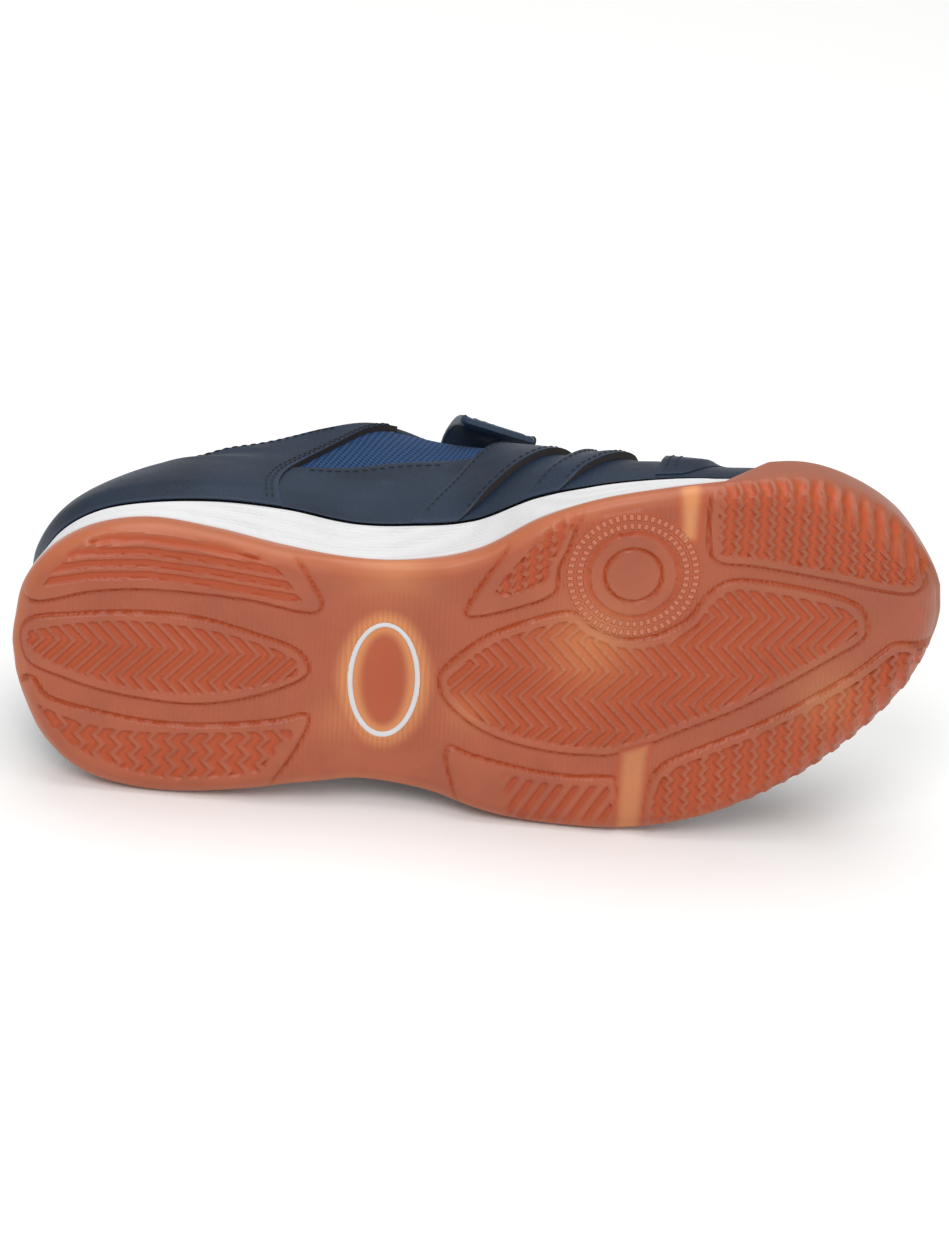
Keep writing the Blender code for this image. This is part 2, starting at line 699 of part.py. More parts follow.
def lying_matrix(items):
    # Turns the shoe onto the flat of its hull that holds it on its lateral side.
    hull = bmesh.new()
    for item in items:
        for vertex in item.data.vertices:
            hull.verts.new(vertex.co)
    bmesh.ops.convex_hull(hull, input=hull.verts, use_existing_faces=False)
    centre = volume_centre(items)
    best, best_share = None, -1.0
    for face in hull.faces:
        a, b, c = (v.co for v in face.verts[:3])
        normal = (b - a).cross(c - a).normalized()
        if normal.dot(a - centre) < 0:
            normal.negate()
        if normal.y < 0.5:
            continue
        foot = centre + normal * normal.dot(a - centre)
        whole = (b - a).cross(c - a).length
        shares = [(q - p).cross(foot - p).dot((b - a).cross(c - a)) / whole ** 2
                  for p, q in ((a, b), (b, c), (c, a))]
        if min(shares) > best_share:
            best, best_share = normal, min(shares)
    hull.free()
    down = best
    along = (Vector((1.0, 0.0, 0.0)) - down * down.x).normalized()
    back = (-down).cross(along)
    turn = Matrix((along, back, -down)).to_4x4()
    corners = [turn @ v.co for item in items for v in item.data.vertices]
    low = Vector([min(c[k] for c in corners) for k in range(3)])
    high = Vector([max(c[k] for c in corners) for k in range(3)])
    middle = Vector(((low.x + high.x) / 2, (low.y + high.y) / 2, low.z))
    return Matrix.Translation(-middle) @ turn


def main():
    for item in list(bpy.data.objects):
        bpy.data.objects.remove(item, do_unlink=True)
    gum, foam, navy = make_material("gum"), make_material("foam"), make_material("navy")
    lining = make_material("lining")
    items = [make_outsole(gum), make_oval_insert(gum), make_midsole(foam), make_insole(lining),
             make_upper(make_material("mesh")), make_tongue(navy), make_strap(navy),
             make_heel_panel(navy), make_toe_overlay(navy)]
    items += [make_overlay(name, navy) for name in OVERLAYS]
    shoe = bpy.data.objects.new("shoe", None)
    bpy.context.scene.collection.objects.link(shoe)
    shoe.matrix_world = lying_matrix(items)
    for item in bpy.data.objects:
        if item.type == "MESH":
            item.parent = shoe


main()
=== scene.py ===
import math
import bpy
import numpy as np
from mathutils import Matrix


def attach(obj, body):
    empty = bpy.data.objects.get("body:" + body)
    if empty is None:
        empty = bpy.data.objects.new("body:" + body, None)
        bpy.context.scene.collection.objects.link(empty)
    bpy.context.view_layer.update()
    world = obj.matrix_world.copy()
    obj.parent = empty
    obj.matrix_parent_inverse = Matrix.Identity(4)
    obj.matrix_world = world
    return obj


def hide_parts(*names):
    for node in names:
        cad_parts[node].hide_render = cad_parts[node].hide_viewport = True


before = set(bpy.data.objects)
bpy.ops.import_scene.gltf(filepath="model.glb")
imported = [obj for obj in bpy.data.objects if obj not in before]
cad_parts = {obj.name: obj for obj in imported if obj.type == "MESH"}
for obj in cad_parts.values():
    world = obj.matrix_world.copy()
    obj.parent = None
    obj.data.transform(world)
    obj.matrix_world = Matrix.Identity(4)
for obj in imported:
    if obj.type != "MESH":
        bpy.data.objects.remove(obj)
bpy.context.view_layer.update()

# The shoe is drawn upright (X from heel to toe, Y to the lateral side, Z up) in metres,
# then every point is laid down on the lateral side, as the solids are.
lie = {
    "alongRow": (0.983829, 0.178895, 0.008770),
    "backRow": (0.0, -0.048967, 0.998800),
    "upRow": (0.179110, -0.982649, -0.048175),
    "offset": (-0.115854, -0.043877, 0.032009),
}
lieTurn = np.array((lie["alongRow"], lie["backRow"], lie["upRow"]))
lieOffset = np.array(lie["offset"])
mm = 0.001

last = {
    "length": 0.234, "ballWidth": 0.092, "throatHeight": 0.080, "soleHeight": 0.0195,
    "toeSpring": 0.0110, "heelLift": 0.0020, "archLift": 0.0020, "gap": 0.0003,
    "edgeRadius": 0.0045, "toeEdgeRadius": 0.0090,
    "lipThickness": 0.0026, "wall": 0.0020,
    "wallRise": 0.50, "heelCrown": 0.22, "vampCrown": 0.50, "crownDrop": 0.06,
}

# Places on the sole's plan, as shares of its length and of the ball's width
soleMarks = {"oval": (0.393, 0.130), "pivot": (0.666, -0.137)}
# How far the tread's cross lines lean along the sole for each step to the side
crossSlant = 0.115

# along, medial, lateral, medial inset, lateral inset of the feather line
soleSections = (
    (0.0013, 0.049, 0.027, 0.050, 0.050), (0.0077, 0.125, 0.118, 0.046, 0.050),
    (0.0222, 0.234, 0.225, 0.038, 0.046), (0.0556, 0.324, 0.330, 0.026, 0.042),
    (0.1026, 0.376, 0.392, 0.020, 0.042), (0.1624, 0.383, 0.426, 0.013, 0.040),
    (0.2308, 0.336, 0.434, -0.021, 0.034), (0.2991, 0.272, 0.428, -0.045, 0.026),
    (0.3675, 0.220, 0.443, -0.040, 0.024), (0.4359, 0.201, 0.496, -0.044, 0.030),
    (0.5043, 0.223, 0.572, -0.030, 0.036), (0.5726, 0.302, 0.617, -0.017, 0.040),
    (0.6410, 0.347, 0.641, -0.003, 0.040), (0.7180, 0.362, 0.628, 0.010, 0.034),
    (0.7950, 0.361, 0.578, 0.032, 0.032), (0.8590, 0.340, 0.512, 0.032, 0.032),
    (0.9145, 0.265, 0.428, 0.032, 0.032), (0.9594, 0.160, 0.328, 0.032, 0.032),
    (0.9890, 0.030, 0.205, 0.032, 0.032), (0.9995, -0.050, 0.119, 0.032, 0.032),
)
# along, medial, lateral, height, medial belly, lateral belly of the upper's top line
topSections = (
    (0.0750, 0.005, 0.044, 0.806, 0.002, 0.002), (0.0780, 0.038, 0.084, 0.805, 0.002, 0.002),
    (0.0870, 0.080, 0.130, 0.799, 0.002, 0.002), (0.1040, 0.127, 0.185, 0.781, 0.003, 0.002),
    (0.1340, 0.202, 0.252, 0.750, 0.006, 0.002), (0.1710, 0.277, 0.308, 0.728, 0.012, 0.002),
    (0.2265, 0.306, 0.333, 0.722, 0.014, 0.002), (0.2860, 0.310, 0.338, 0.775, 0.016, 0.004),
    (0.3420, 0.298, 0.330, 0.900, 0.020, 0.006), (0.3880, 0.258, 0.318, 1.020, 0.024, 0.008),
    (0.4400, 0.205, 0.300, 1.040, 0.022, 0.008), (0.4960, 0.150, 0.285, 0.950, 0.018, 0.006),
    (0.5510, 0.092, 0.268, 0.830, 0.010, 0.004), (0.5950, 0.030, 0.248, 0.725, 0.004, 0.002),
    (0.6260, -0.028, 0.213, 0.665, 0.000, 0.000), (0.6390, -0.060, 0.185, 0.642, 0.000, 0.000),
    (0.6450, -0.082, 0.165, 0.633, 0.000, 0.000), (0.6487, -0.098, 0.148, 0.628, 0.000, 0.000),
    (0.6500, -0.111, 0.135, 0.625, 0.000, 0.000), (0.6504, -0.120, 0.127, 0.624, 0.000, 0.000),
)
# along, top of the gum, top of the foam, as shares of the sole's height
sideHeights = np.array((
    (0.000, 0.44, 0.98), (0.200, 0.44, 1.00), (0.360, 0.46, 1.06), (0.500, 0.41, 0.93),
    (0.620, 0.36, 0.70), (0.770, 0.36, 0.65), (0.820, 0.90, 0.66), (0.900, 0.98, 0.66),
    (1.000, 0.98, 0.66)))
sectionCount = len(soleSections)
tip = sectionCount - 1


def controlRows():
    medial, lateral = [], []
    for sole, top in zip(soleSections, topSections):
        for side, column, sign in ((medial, 1, -1), (lateral, 2, 1)):
            side.append((sole[0] * last["length"], sign * sole[column] * last["ballWidth"],
                         sole[column + 2] * last["ballWidth"], top[0] * last["length"],
                         sign * top[column] * last["ballWidth"], top[3] * last["throatHeight"],
                         top[column + 3] * last["ballWidth"]))
    return np.array(medial + lateral[::-1])


rows = controlRows()


def markPlace(name):
    along, across = soleMarks[name]
    return np.array((along * last["length"], across * last["ballWidth"]))


def smoothStep(value, start, end):
    share = np.clip((value - start) / (end - start), 0.0, 1.0)
    return share * share * (3.0 - 2.0 * share)


def closedCurve(table, places):
    places = np.asarray(places, float)
    base = np.floor(places).astype(int)
    t = (places - base)[..., None]
    before, start, end, after = (table[(base + k) % len(table)] for k in (-1, 0, 1, 2))
    return 0.5 * (2 * start + (end - before) * t
                  + (2 * before - 5 * start + 4 * end - after) * t ** 2
                  + (3 * start - before - 3 * end + after) * t ** 3)


def placeOn(side, section):
    return section if side == "medial" else 2 * sectionCount - 1 - section


def edgeNormal(places):
    way = closedCurve(rows, np.asarray(places) + 0.05)[..., :2] - closedCurve(
        rows, np.asarray(places) - 0.05)[..., :2]
    way = way / np.linalg.norm(way, axis=-1, keepdims=True)
    return np.stack((way[..., 1], -way[..., 0]), axis=-1)


def springAt(x):
    return last["toeSpring"] * np.maximum(0.0, (x / last["length"] - 0.66) / 0.34) ** 1.8


def treadHeight(x):
    along = x / last["length"]
    arch = last["archLift"] * smoothStep(along, 0.30, 0.36) * (1 - smoothStep(along, 0.42, 0.48))
    return springAt(x) + last["heelLift"] * np.maximum(0.0, 1 - along / 0.05) ** 2 + arch


def sideHeight(x, column):
    share = np.interp(x / last["length"], sideHeights[:, 0], sideHeights[:, column])
    return share * last["soleHeight"] + springAt(x)


def roundAt(x):
    return last["edgeRadius"] + (last["toeEdgeRadius"] - last["edgeRadius"]) * smoothStep(
        x / last["length"], 0.77, 0.96)


def soleEdge(places, inset=0.0):
    places = np.asarray(places, float)
    inset = np.broadcast_to(inset, places.shape)[..., None]
    return closedCurve(rows, places)[..., :2] - edgeNormal(places) * inset


def featherLine(places):
    edge = soleEdge(places, closedCurve(rows, places)[..., 2])
    return np.concatenate((edge, sideHeight(edge[..., 0], 2)[..., None]), axis=-1)


def upperPoint(places, t, offset=0.0):
    places, t = np.broadcast_arrays(np.asarray(places, float), np.asarray(t, float))
    row = closedCurve(rows, places)
    low = featherLine(places) + np.array((0, 0, last["gap"]))
    top = row[..., 3:6]
    out = edgeNormal(places)
    rise = (top - low)[..., 2:]
    crown = last["heelCrown"] + (last["vampCrown"] - last["heelCrown"]) * smoothStep(
        row[..., 0] / last["length"], 0.20, 0.50)
    above = low + np.concatenate((out * row[..., 6:7], last["wallRise"] * rise), axis=-1)
    inside = top + np.concatenate(
        ((low - top)[..., :2] * crown[..., None], -last["crownDrop"] * rise), axis=-1)
    t = t[..., None]
    s = 1 - t
    point = s ** 3 * low + 3 * s * s * t * above + 3 * s * t * t * inside + t ** 3 * top
    if np.any(offset):
        point = point + np.asarray(offset)[..., None] * upperNormal(places, t[..., 0])
    return point


def upperNormal(places, t):
    t = np.clip(t, 0.02, 0.98)
    around = upperPoint(places + 0.1, t) - upperPoint(places - 0.1, t)
    up = upperPoint(places, t + 0.02) - upperPoint(places, t - 0.02)
    normal = np.cross(around, up)
    return normal / np.linalg.norm(normal, axis=-1, keepdims=True)


def tint(red, green, blue):
    # A colour as an eye reads it, 0 to 255, turned into the light that it gives back
    parts = [c / 255 for c in (red, green, blue)]
    return tuple(c / 12.92 if c < 0.04045 else ((c + 0.055) / 1.055) ** 2.4 for c in parts) + (1.0,)


class Signal:
    # One socket of a shader that takes part in plain arithmetic
    def __init__(self, finish, socket):
        self.finish, self.socket = finish, socket

    def maths(self, operation, first, second=None):
        values = {0: first} if second is None else {0: first, 1: second}
        return self.finish.node("ShaderNodeMath", {"operation": operation}, values)

    def __add__(self, other):
        return self.maths("ADD", self, other)

    def __sub__(self, other):
        return self.maths("SUBTRACT", self, other)

    def __rsub__(self, other):
        return self.maths("SUBTRACT", other, self)

    def __mul__(self, other):
        return self.maths("MULTIPLY", self, other)

    def __truediv__(self, other):
        return self.maths("DIVIDE", self, other)

    def __pow__(self, other):
        return self.maths("POWER", self, other)

    __radd__ = __add__
    __rmul__ = __mul__

    def wave(self, pitch):
        return self.maths("SINE", self * (math.tau / pitch)) * 0.5 + 0.5

    def between(self, low, high):
        return self.finish.node("ShaderNodeMapRange", {"interpolation_type": "SMOOTHSTEP"},
                                {0: self, 1: low, 2: high, 3: 0.0, 4: 1.0})


class Finish:
    # A material built from plain calls
    def __init__(self, name, **fixed):
        self.material = bpy.data.materials.new(name)
        self.material.use_nodes = True
        self.tree = self.material.node_tree
        self.shader = self.tree.nodes["Principled BSDF"]
        for socket, value in fixed.items():
            self.shader.inputs[socket.replace("_", " ")].default_value = value

    def node(self, kind, settings, values, out=0):
        made = self.tree.nodes.new(kind)
        for key, value in settings.items():
            if key == "stops":
                stops = made.color_ramp.elements
                while len(stops) < len(value):
                    stops.new(0.5)
                for stop, (place, colour) in zip(stops, value):
                    stop.position, stop.color = place, colour
            else:
                setattr(made, key, value)
        for key, value in values.items():
            self.put(made.inputs[key], value)
        return Signal(self, made.outputs[out])

    def put(self, socket, value):
        if isinstance(value, Signal):
            self.tree.links.new(value.socket, socket)
        else:
            socket.default_value = value

    def drawn(self, name):
        # A number or a place that the mesh carries
        return self.node("ShaderNodeAttribute", {"attribute_name": name}, {}, 2)

    def place(self, name="upright"):
        return self.node("ShaderNodeAttribute", {"attribute_name": name}, {}, 1)

    def along(self, vector, direction):
        return self.node("ShaderNodeVectorMath", {"operation": "DOT_PRODUCT"},
                         {0: vector, 1: direction}, 1)

    def noise(self, vector, scale, detail=2.0, roughness=0.5):
        return self.node("ShaderNodeTexNoise", {}, {"Vector": vector, "Scale": scale,
                                                    "Detail": detail, "Roughness": roughness})

    def cells(self, vector, scale, feature="F1"):
        return self.node("ShaderNodeTexVoronoi", {"feature": feature},
                         {"Vector": vector, "Scale": scale})

    def mix(self, share, first, second, mode="MIX"):
        return self.node("ShaderNodeMix", {"data_type": "RGBA", "blend_type": mode},
                         {0: share, 6: first, 7: second}, 2)

    def bump(self, height, distance, strength=1.0, under=None):
        values = {"Height": height, "Distance": distance, "Strength": strength}
        if under:
            values["Normal"] = under
        return self.node("ShaderNodeBump", {}, values)

    def set(self, **links):
        for socket, value in links.items():
            self.put(self.shader.inputs[socket.replace("_", " ")], value)
        return self.material


def gumBlocks(gum, spot):
    # Two rings of small square blocks in the pivot circle
    # radius, half width, count of blocks
    rings = ((15.7, 0.80, 56), (13.3, 0.75, 48))
    centre = (markPlace("pivot") * 1000).tolist()
    x = gum.along(spot, (1000.0, 0.0, 0.0)) - centre[0]
    y = gum.along(spot, (0.0, 1000.0, 0.0)) - centre[1]
    radius = (x * x + y * y) ** 0.5
    angle = x.maths("ARCTAN2", y, x)
    blocks = None
    for middle, half, count in rings:
        away = x.maths("ABSOLUTE", radius - middle)
        row = away.between(half + 0.12, half - 0.12) * (angle * count).wave(math.tau).between(0.22, 0.48)
        blocks = row if blocks is None else blocks + row
    return blocks


def gumFinish():
    look = {
        "raised": tint(168, 86, 56), "trough": tint(176, 74, 32), "shade": tint(146, 72, 48),
        "glow": tint(220, 150, 92), "edge": tint(186, 108, 66), "dust": tint(212, 174, 144),
        "toe": tint(140, 80, 56), "block": tint(196, 116, 86), "ribPitch": 1.27,
    }
    gum = Finish("gumRubber", Roughness=0.42, Coat_Weight=0.10, Coat_Roughness=0.30,
                 Specular_IOR_Level=0.42)
    spot = gum.place()
    trough, glow, ribs = gum.drawn("trough"), gum.drawn("glow"), gum.drawn("ribs")
    toe, edge = gum.drawn("toe"), gum.drawn("edge")
    cloud = gum.noise(spot, 55.0, 3.0).between(0.35, 0.68)
    colour = gum.mix(cloud * 0.5, look["raised"], look["shade"])
    colour = gum.mix(toe * 0.7, colour, look["toe"])
    colour = gum.mix(edge * 0.55, colour, look["edge"])
    # Troughs and grooves are painted a darker, deeper orange: painted shade in the recesses
    colour = gum.mix(trough, colour, look["trough"])
    colour = gum.mix(glow, colour, look["glow"])
    across = gum.along(spot, (1000.0, 1000.0 * crossSlant, 0.0))
    wave = across.wave(look["ribPitch"])
    # The fine ribs' valleys get the same painted shade
    colour = gum.mix(ribs * (1 - wave) * 0.28, colour, look["trough"])
    dust = gum.cells(spot, 260.0).between(0.055, 0.02) * gum.noise(spot, 90.0).between(0.56, 0.66)
    colour = gum.mix(dust * 0.55, colour, look["dust"])
    blocks = gumBlocks(gum, spot)
    colour = gum.mix(blocks * 0.75, colour, look["block"])
    fine = gum.noise(spot, 1400.0, 3.0)
    relief = gum.bump(wave * ribs, 0.00020, 0.8)
    relief = gum.bump(blocks, 0.00045, 1.0, relief)
    relief = gum.bump(fine, 0.00005, 0.5, relief)
    rough = gum.noise(spot, 120.0, 4.0) * 0.22 + 0.32 + trough * 0.06
    return gum.set(Base_Color=colour, Roughness=rough, Normal=relief)


def foamFinish():
    look = {"clean": tint(212, 212, 213), "shade": tint(184, 184, 186), "smudge": tint(172, 167, 160)}
    foam = Finish("whiteFoam", Roughness=0.58, Specular_IOR_Level=0.35)
    spot = foam.place()
    height = foam.along(spot, (0.0, 0.0, 1000.0))
    line = height.wave(0.95)
    cloud = foam.noise(spot, 60.0, 4.0)
    colour = foam.mix(line * 0.16, look["clean"], look["shade"])
    colour = foam.mix(cloud.between(0.55, 0.8) * 0.35, colour, look["shade"])
    colour = foam.mix(foam.noise(spot, 210.0, 3.0).between(0.68, 0.78) * 0.35, colour, look["smudge"])
    relief = foam.bump(line, 0.00012, 0.7)
    relief = foam.bump(foam.noise(spot, 900.0, 3.0), 0.00004, 0.5, relief)
    return foam.set(Base_Color=colour, Normal=relief, Roughness=cloud * 0.2 + 0.48)


def leatherFinish(name, litTop=1.0):
    look = {"body": tint(25, 43, 64), "deep": tint(15, 29, 46), "wornAndLit": tint(58, 75, 96)}
    skin = Finish(name, Coat_Weight=0.03, Coat_Roughness=0.40, Specular_IOR_Level=0.28)
    spot = skin.place()
    grain = skin.cells(spot, 1100.0, "DISTANCE_TO_EDGE").between(0.0, 0.16)
    pores = skin.noise(spot, 2600.0, 2.0)
    cloud = skin.noise(spot, 38.0, 4.0)
    colour = skin.mix(cloud.between(0.3, 0.75), look["body"], look["deep"])
    colour = skin.mix((1 - grain) * 0.30, colour, look["deep"])
    colour = skin.mix(skin.noise(spot, 130.0, 5.0, 0.65).between(0.60, 0.80) * 0.35, colour, look["wornAndLit"])
    colour = skin.mix(skin.drawn("edge") * 0.35, colour, look["wornAndLit"])
    # The strap's copy is painted lighter all over: painted light for the strap's lit top face
    if litTop != 1.0:
        colour = skin.mix(0.35, colour, look["wornAndLit"])
    relief = skin.bump(grain, 0.00006, 0.7)
    relief = skin.bump(pores, 0.00003, 0.5, relief)
    relief = skin.bump(skin.noise(spot, 160.0, 3.0), 0.00025, 0.5, relief)
    return skin.set(Base_Color=colour, Normal=relief, Roughness=cloud * 0.22 + 0.38 - grain * 0.04)


def meshFinish():
    look = {"thread": tint(24, 70, 118), "shade": tint(16, 50, 92), "hole": tint(5, 16, 34), "pitch": 1.45}
    cloth = Finish("blueMesh", Roughness=0.85, Sheen_Weight=0.06, Sheen_Roughness=0.5,
                   Specular_IOR_Level=0.2)
    flat = cloth.place("cloth")
    u = cloth.along(flat, (1000.0, 500.0, 0.0)).wave(look["pitch"])
    v = cloth.along(flat, (1000.0, -500.0, 0.0)).wave(look["pitch"])
    w = cloth.along(flat, (0.0, 1000.0, 0.0)).wave(look["pitch"] * 0.9)
    hole = (u * v * (w * 0.4 + 0.6)).between(0.18, 0.36)
    spot = cloth.place()
    fibre = cloth.noise(spot, 2600.0, 3.0)
    colour = cloth.mix(fibre * 0.5, look["thread"], look["shade"])
    # The holes are painted near black: painted shade for what lies in shadow behind the mesh
    colour = cloth.mix(hole * 0.92, colour, look["hole"])
    relief = cloth.bump(1 - hole, 0.00050, 1.0)
    relief = cloth.bump(fibre, 0.00006, 0.6, relief)
    return cloth.set(Base_Color=colour, Normal=relief, Roughness=fibre * 0.15 + 0.72)


def clothFinish(name, body, shade, pitch, lift=0.00012):
    cloth = Finish(name, Sheen_Weight=0.30, Sheen_Roughness=0.5, Specular_IOR_Level=0.25)
    spot = cloth.place()
    warp = cloth.along(spot, (1000.0, 350.0, 0.0)).wave(pitch)
    weft = cloth.along(spot, (0.0, 600.0, 900.0)).wave(pitch)
    weave = warp * weft
    fuzz = cloth.noise(spot, 1800.0, 3.0)
    colour = cloth.mix(weave, shade, body)
    colour = cloth.mix(fuzz.between(0.45, 0.75) * 0.4, colour, shade)
    relief = cloth.bump(weave, lift, 0.9)
    relief = cloth.bump(fuzz, 0.00008, 0.6, relief)
    return cloth.set(Base_Color=colour, Normal=relief, Roughness=fuzz * 0.15 + 0.78)


def plainFinish(name, body, shade, rough, scale=900.0, lift=0.00006):
    stuff = Finish(name, Specular_IOR_Level=0.35)
    spot = stuff.place()
    speck = stuff.noise(spot, scale, 4.0)
    colour = stuff.mix(speck, shade, body)
    return stuff.set(Base_Color=colour, Normal=stuff.bump(speck, lift, 0.8), Roughness=speck * 0.2 + rough)


gumRubber = gumFinish()
whiteFoam = foamFinish()
navyLeather = leatherFinish("navyLeather")
# The strap's leather is the same navy painted lighter, a painted highlight for its lit top face
litStrapLeather = leatherFinish("litStrapLeather", 1.2)
blueMesh = meshFinish()
rawEdge = plainFinish("rawEdge", tint(58, 52, 52), tint(30, 28, 30), 0.75)
blackBinding = clothFinish("blackBinding", tint(34, 36, 42), tint(16, 17, 20), 0.7)
darkLining = clothFinish("darkLining", tint(46, 54, 70), tint(24, 28, 38), 1.0)
footbedCloth = clothFinish("footbedCloth", tint(58, 66, 82), tint(32, 38, 50), 0.9)
hookTape = plainFinish("hookTape", tint(30, 32, 38), tint(12, 13, 16), 0.85, 2200.0, 0.0004)
blackThread = plainFinish("blackThread", tint(38, 40, 46), tint(18, 19, 22), 0.6, 3000.0)
print("finishes are mixed")


def addMesh(name, points, faces, materials, marks=None, faceMaterial=None):
    # points are upright metres; marks are numbers or places that the mesh carries
    points = np.asarray(points, float).reshape(-1, 3)
    mesh = bpy.data.meshes.new(name)
    mesh.from_pydata((points @ lieTurn.T + lieOffset).tolist(), [], faces)
    for material in materials:
        mesh.materials.append(material)
    if faceMaterial is not None:
        mesh.polygons.foreach_set("material_index", np.asarray(faceMaterial, np.int32))
    mesh.attributes.new("upright", "FLOAT_VECTOR", "POINT").data.foreach_set("vector", points.ravel())
    for key, values in (marks or {}).items():
        values = np.asarray(values, float)
        if values.size == 3 * len(points):
            mesh.attributes.new(key, "FLOAT_VECTOR", "POINT").data.foreach_set("vector", values.ravel())
        else:
            mesh.attributes.new(key, "FLOAT", "POINT").data.foreach_set("value", values.ravel())
    mesh.shade_smooth()
    mesh.set_sharp_from_angle(angle=math.radians(50))
    piece = bpy.data.objects.new(name, mesh)
    bpy.context.scene.collection.objects.link(piece)
    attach(piece, "root")
    return piece


def gridFaces(count, size, closed=False, first=0):
    wide = size if closed else size - 1
    a = first + np.arange(count - 1)[:, None] * size + np.arange(wide)[None, :]
    b = first + np.arange(count - 1)[:, None] * size + (np.arange(wide)[None, :] + 1) % size
    return np.stack((a, b, b + size, a + size), axis=-1).reshape(-1, 4).tolist()


def tubeAlong(path, radius, sides=8, squash=None, closed=False):
    # Round or flattened tube: squash is (across, up) with up directions for each point
    path = np.asarray(path)
    if closed:
        way = np.roll(path, -1, axis=0) - np.roll(path, 1, axis=0)
    else:
        way = np.gradient(path, axis=0)
    way /= np.linalg.norm(way, axis=1, keepdims=True)
    up = squash[2] if squash else np.broadcast_to((0.0, 0.0, 1.0), path.shape)
    side = np.cross(way, up)
    side /= np.linalg.norm(side, axis=1, keepdims=True)
    up = np.cross(side, way)
    angles = np.arange(sides) * math.tau / sides
    wide, high = (squash[0], squash[1]) if squash else (1.0, 1.0)
    ring = (side[:, None, :] * (np.cos(angles) * wide)[None, :, None]
            + up[:, None, :] * (np.sin(angles) * high)[None, :, None])
    points = path[:, None, :] + ring * radius
    if closed:
        points = np.concatenate((points, points[:1]))
    faces = gridFaces(len(points), sides, True)
    if not closed:
        faces += [list(range(sides))[::-1], [len(points) * sides - sides + k for k in range(sides)]]
    return points.reshape(-1, 3), faces


def outlineGap(points, outline):
    # Distance to a closed outline, positive inside, and the nearest spot on it
    best = np.full(len(points), 1e9)
    near = np.zeros_like(points)
    inside = np.zeros(len(points), bool)
    for start, step in zip(outline, np.roll(outline, -1, axis=0) - outline):
        rel = points - start
        share = np.clip(rel @ step / (step @ step), 0, 1)[:, None] * step
        gap = ((rel - share) ** 2).sum(axis=1)
        closer = gap < best
        best[closer] = gap[closer]
        near[closer] = (start + share)[closer]
        crosses = (start[1] > points[:, 1]) != (start[1] + step[1] > points[:, 1])
        inside ^= crosses & (rel[:, 0] < rel[:, 1] * step[0] / (step[1] or 1e-12))
    return np.sqrt(best) * np.where(inside, 1, -1), near


# Tread pads: outline corners as shares of the length and of the ball's width, then
# the pattern cut into each. Inner outlines are in millimetres.
treadPads = {
    "heelMedial": ((0.025, -0.199), (0.094, -0.211), (0.158, -0.202), (0.254, -0.154),
                   (0.329, -0.095), (0.323, -0.186), (0.309, -0.262), (0.285, -0.350),
                   (0.210, -0.470), (0.080, -0.470), (0.020, -0.330)),
    "heelCentre": ((0.021, -0.128), (0.075, -0.139), (0.139, -0.130), (0.203, -0.099),
                   (0.266, -0.032), (0.300, 0.013), (0.312, 0.061), (0.306, 0.096),
                   (0.260, 0.134), (0.210, 0.149), (0.162, 0.136), (0.098, 0.090),
                   (0.051, 0.034), (0.016, -0.024)),
    "heelLateral": ((0.015, 0.041), (0.032, 0.100), (0.079, 0.152), (0.143, 0.202),
                    (0.208, 0.224), (0.273, 0.225), (0.308, 0.217), (0.291, 0.308),
                    (0.262, 0.410), (0.245, 0.520), (0.130, 0.520), (0.030, 0.420),
                    (-0.020, 0.150)),
    "ballMedial": ((0.548, -0.290), (0.492, -0.083), (0.497, -0.053), (0.541, -0.070),
                   (0.580, -0.104), (0.586, -0.175), (0.601, -0.250), (0.618, -0.400),
                   (0.555, -0.420)),
    "ballCentre": ((0.454, 0.163), (0.460, 0.105), (0.504, 0.023), (0.552, -0.018),
                   (0.598, -0.035), (0.620, 0.015), (0.655, 0.058), (0.690, 0.053),
                   (0.722, 0.015), (0.744, -0.050), (0.770, -0.085), (0.806, -0.068),
                   (0.843, -0.037), (0.880, 0.001), (0.904, 0.040), (0.912, 0.089),
                   (0.907, 0.137), (0.872, 0.179), (0.779, 0.283), (0.710, 0.338),
                   (0.647, 0.390), (0.600, 0.389), (0.543, 0.354), (0.497, 0.297),
                   (0.464, 0.218)),
    "ballLateral": ((0.456, 0.349), (0.483, 0.378), (0.541, 0.434), (0.587, 0.463),
                    (0.621, 0.471), (0.634, 0.500), (0.631, 0.720), (0.540, 0.720),
                    (0.475, 0.600), (0.458, 0.450)),
    "toeLateral": ((0.661, 0.597), (0.672, 0.496), (0.685, 0.453), (0.708, 0.424),
                   (0.801, 0.349), (0.894, 0.247), (0.930, 0.192), (0.949, 0.173),
                   (0.990, 0.210), (1.040, 0.270), (0.980, 0.550), (0.820, 0.720),
                   (0.670, 0.720)),
    "toeMedial": ((0.755, -0.378), (0.750, -0.212), (0.758, -0.154), (0.798, -0.128),
                  (0.881, -0.055), (0.927, -0.008), (0.968, 0.021), (0.990, -0.020),
                  (1.040, -0.080), (0.960, -0.380), (0.860, -0.520), (0.760, -0.520)),
}
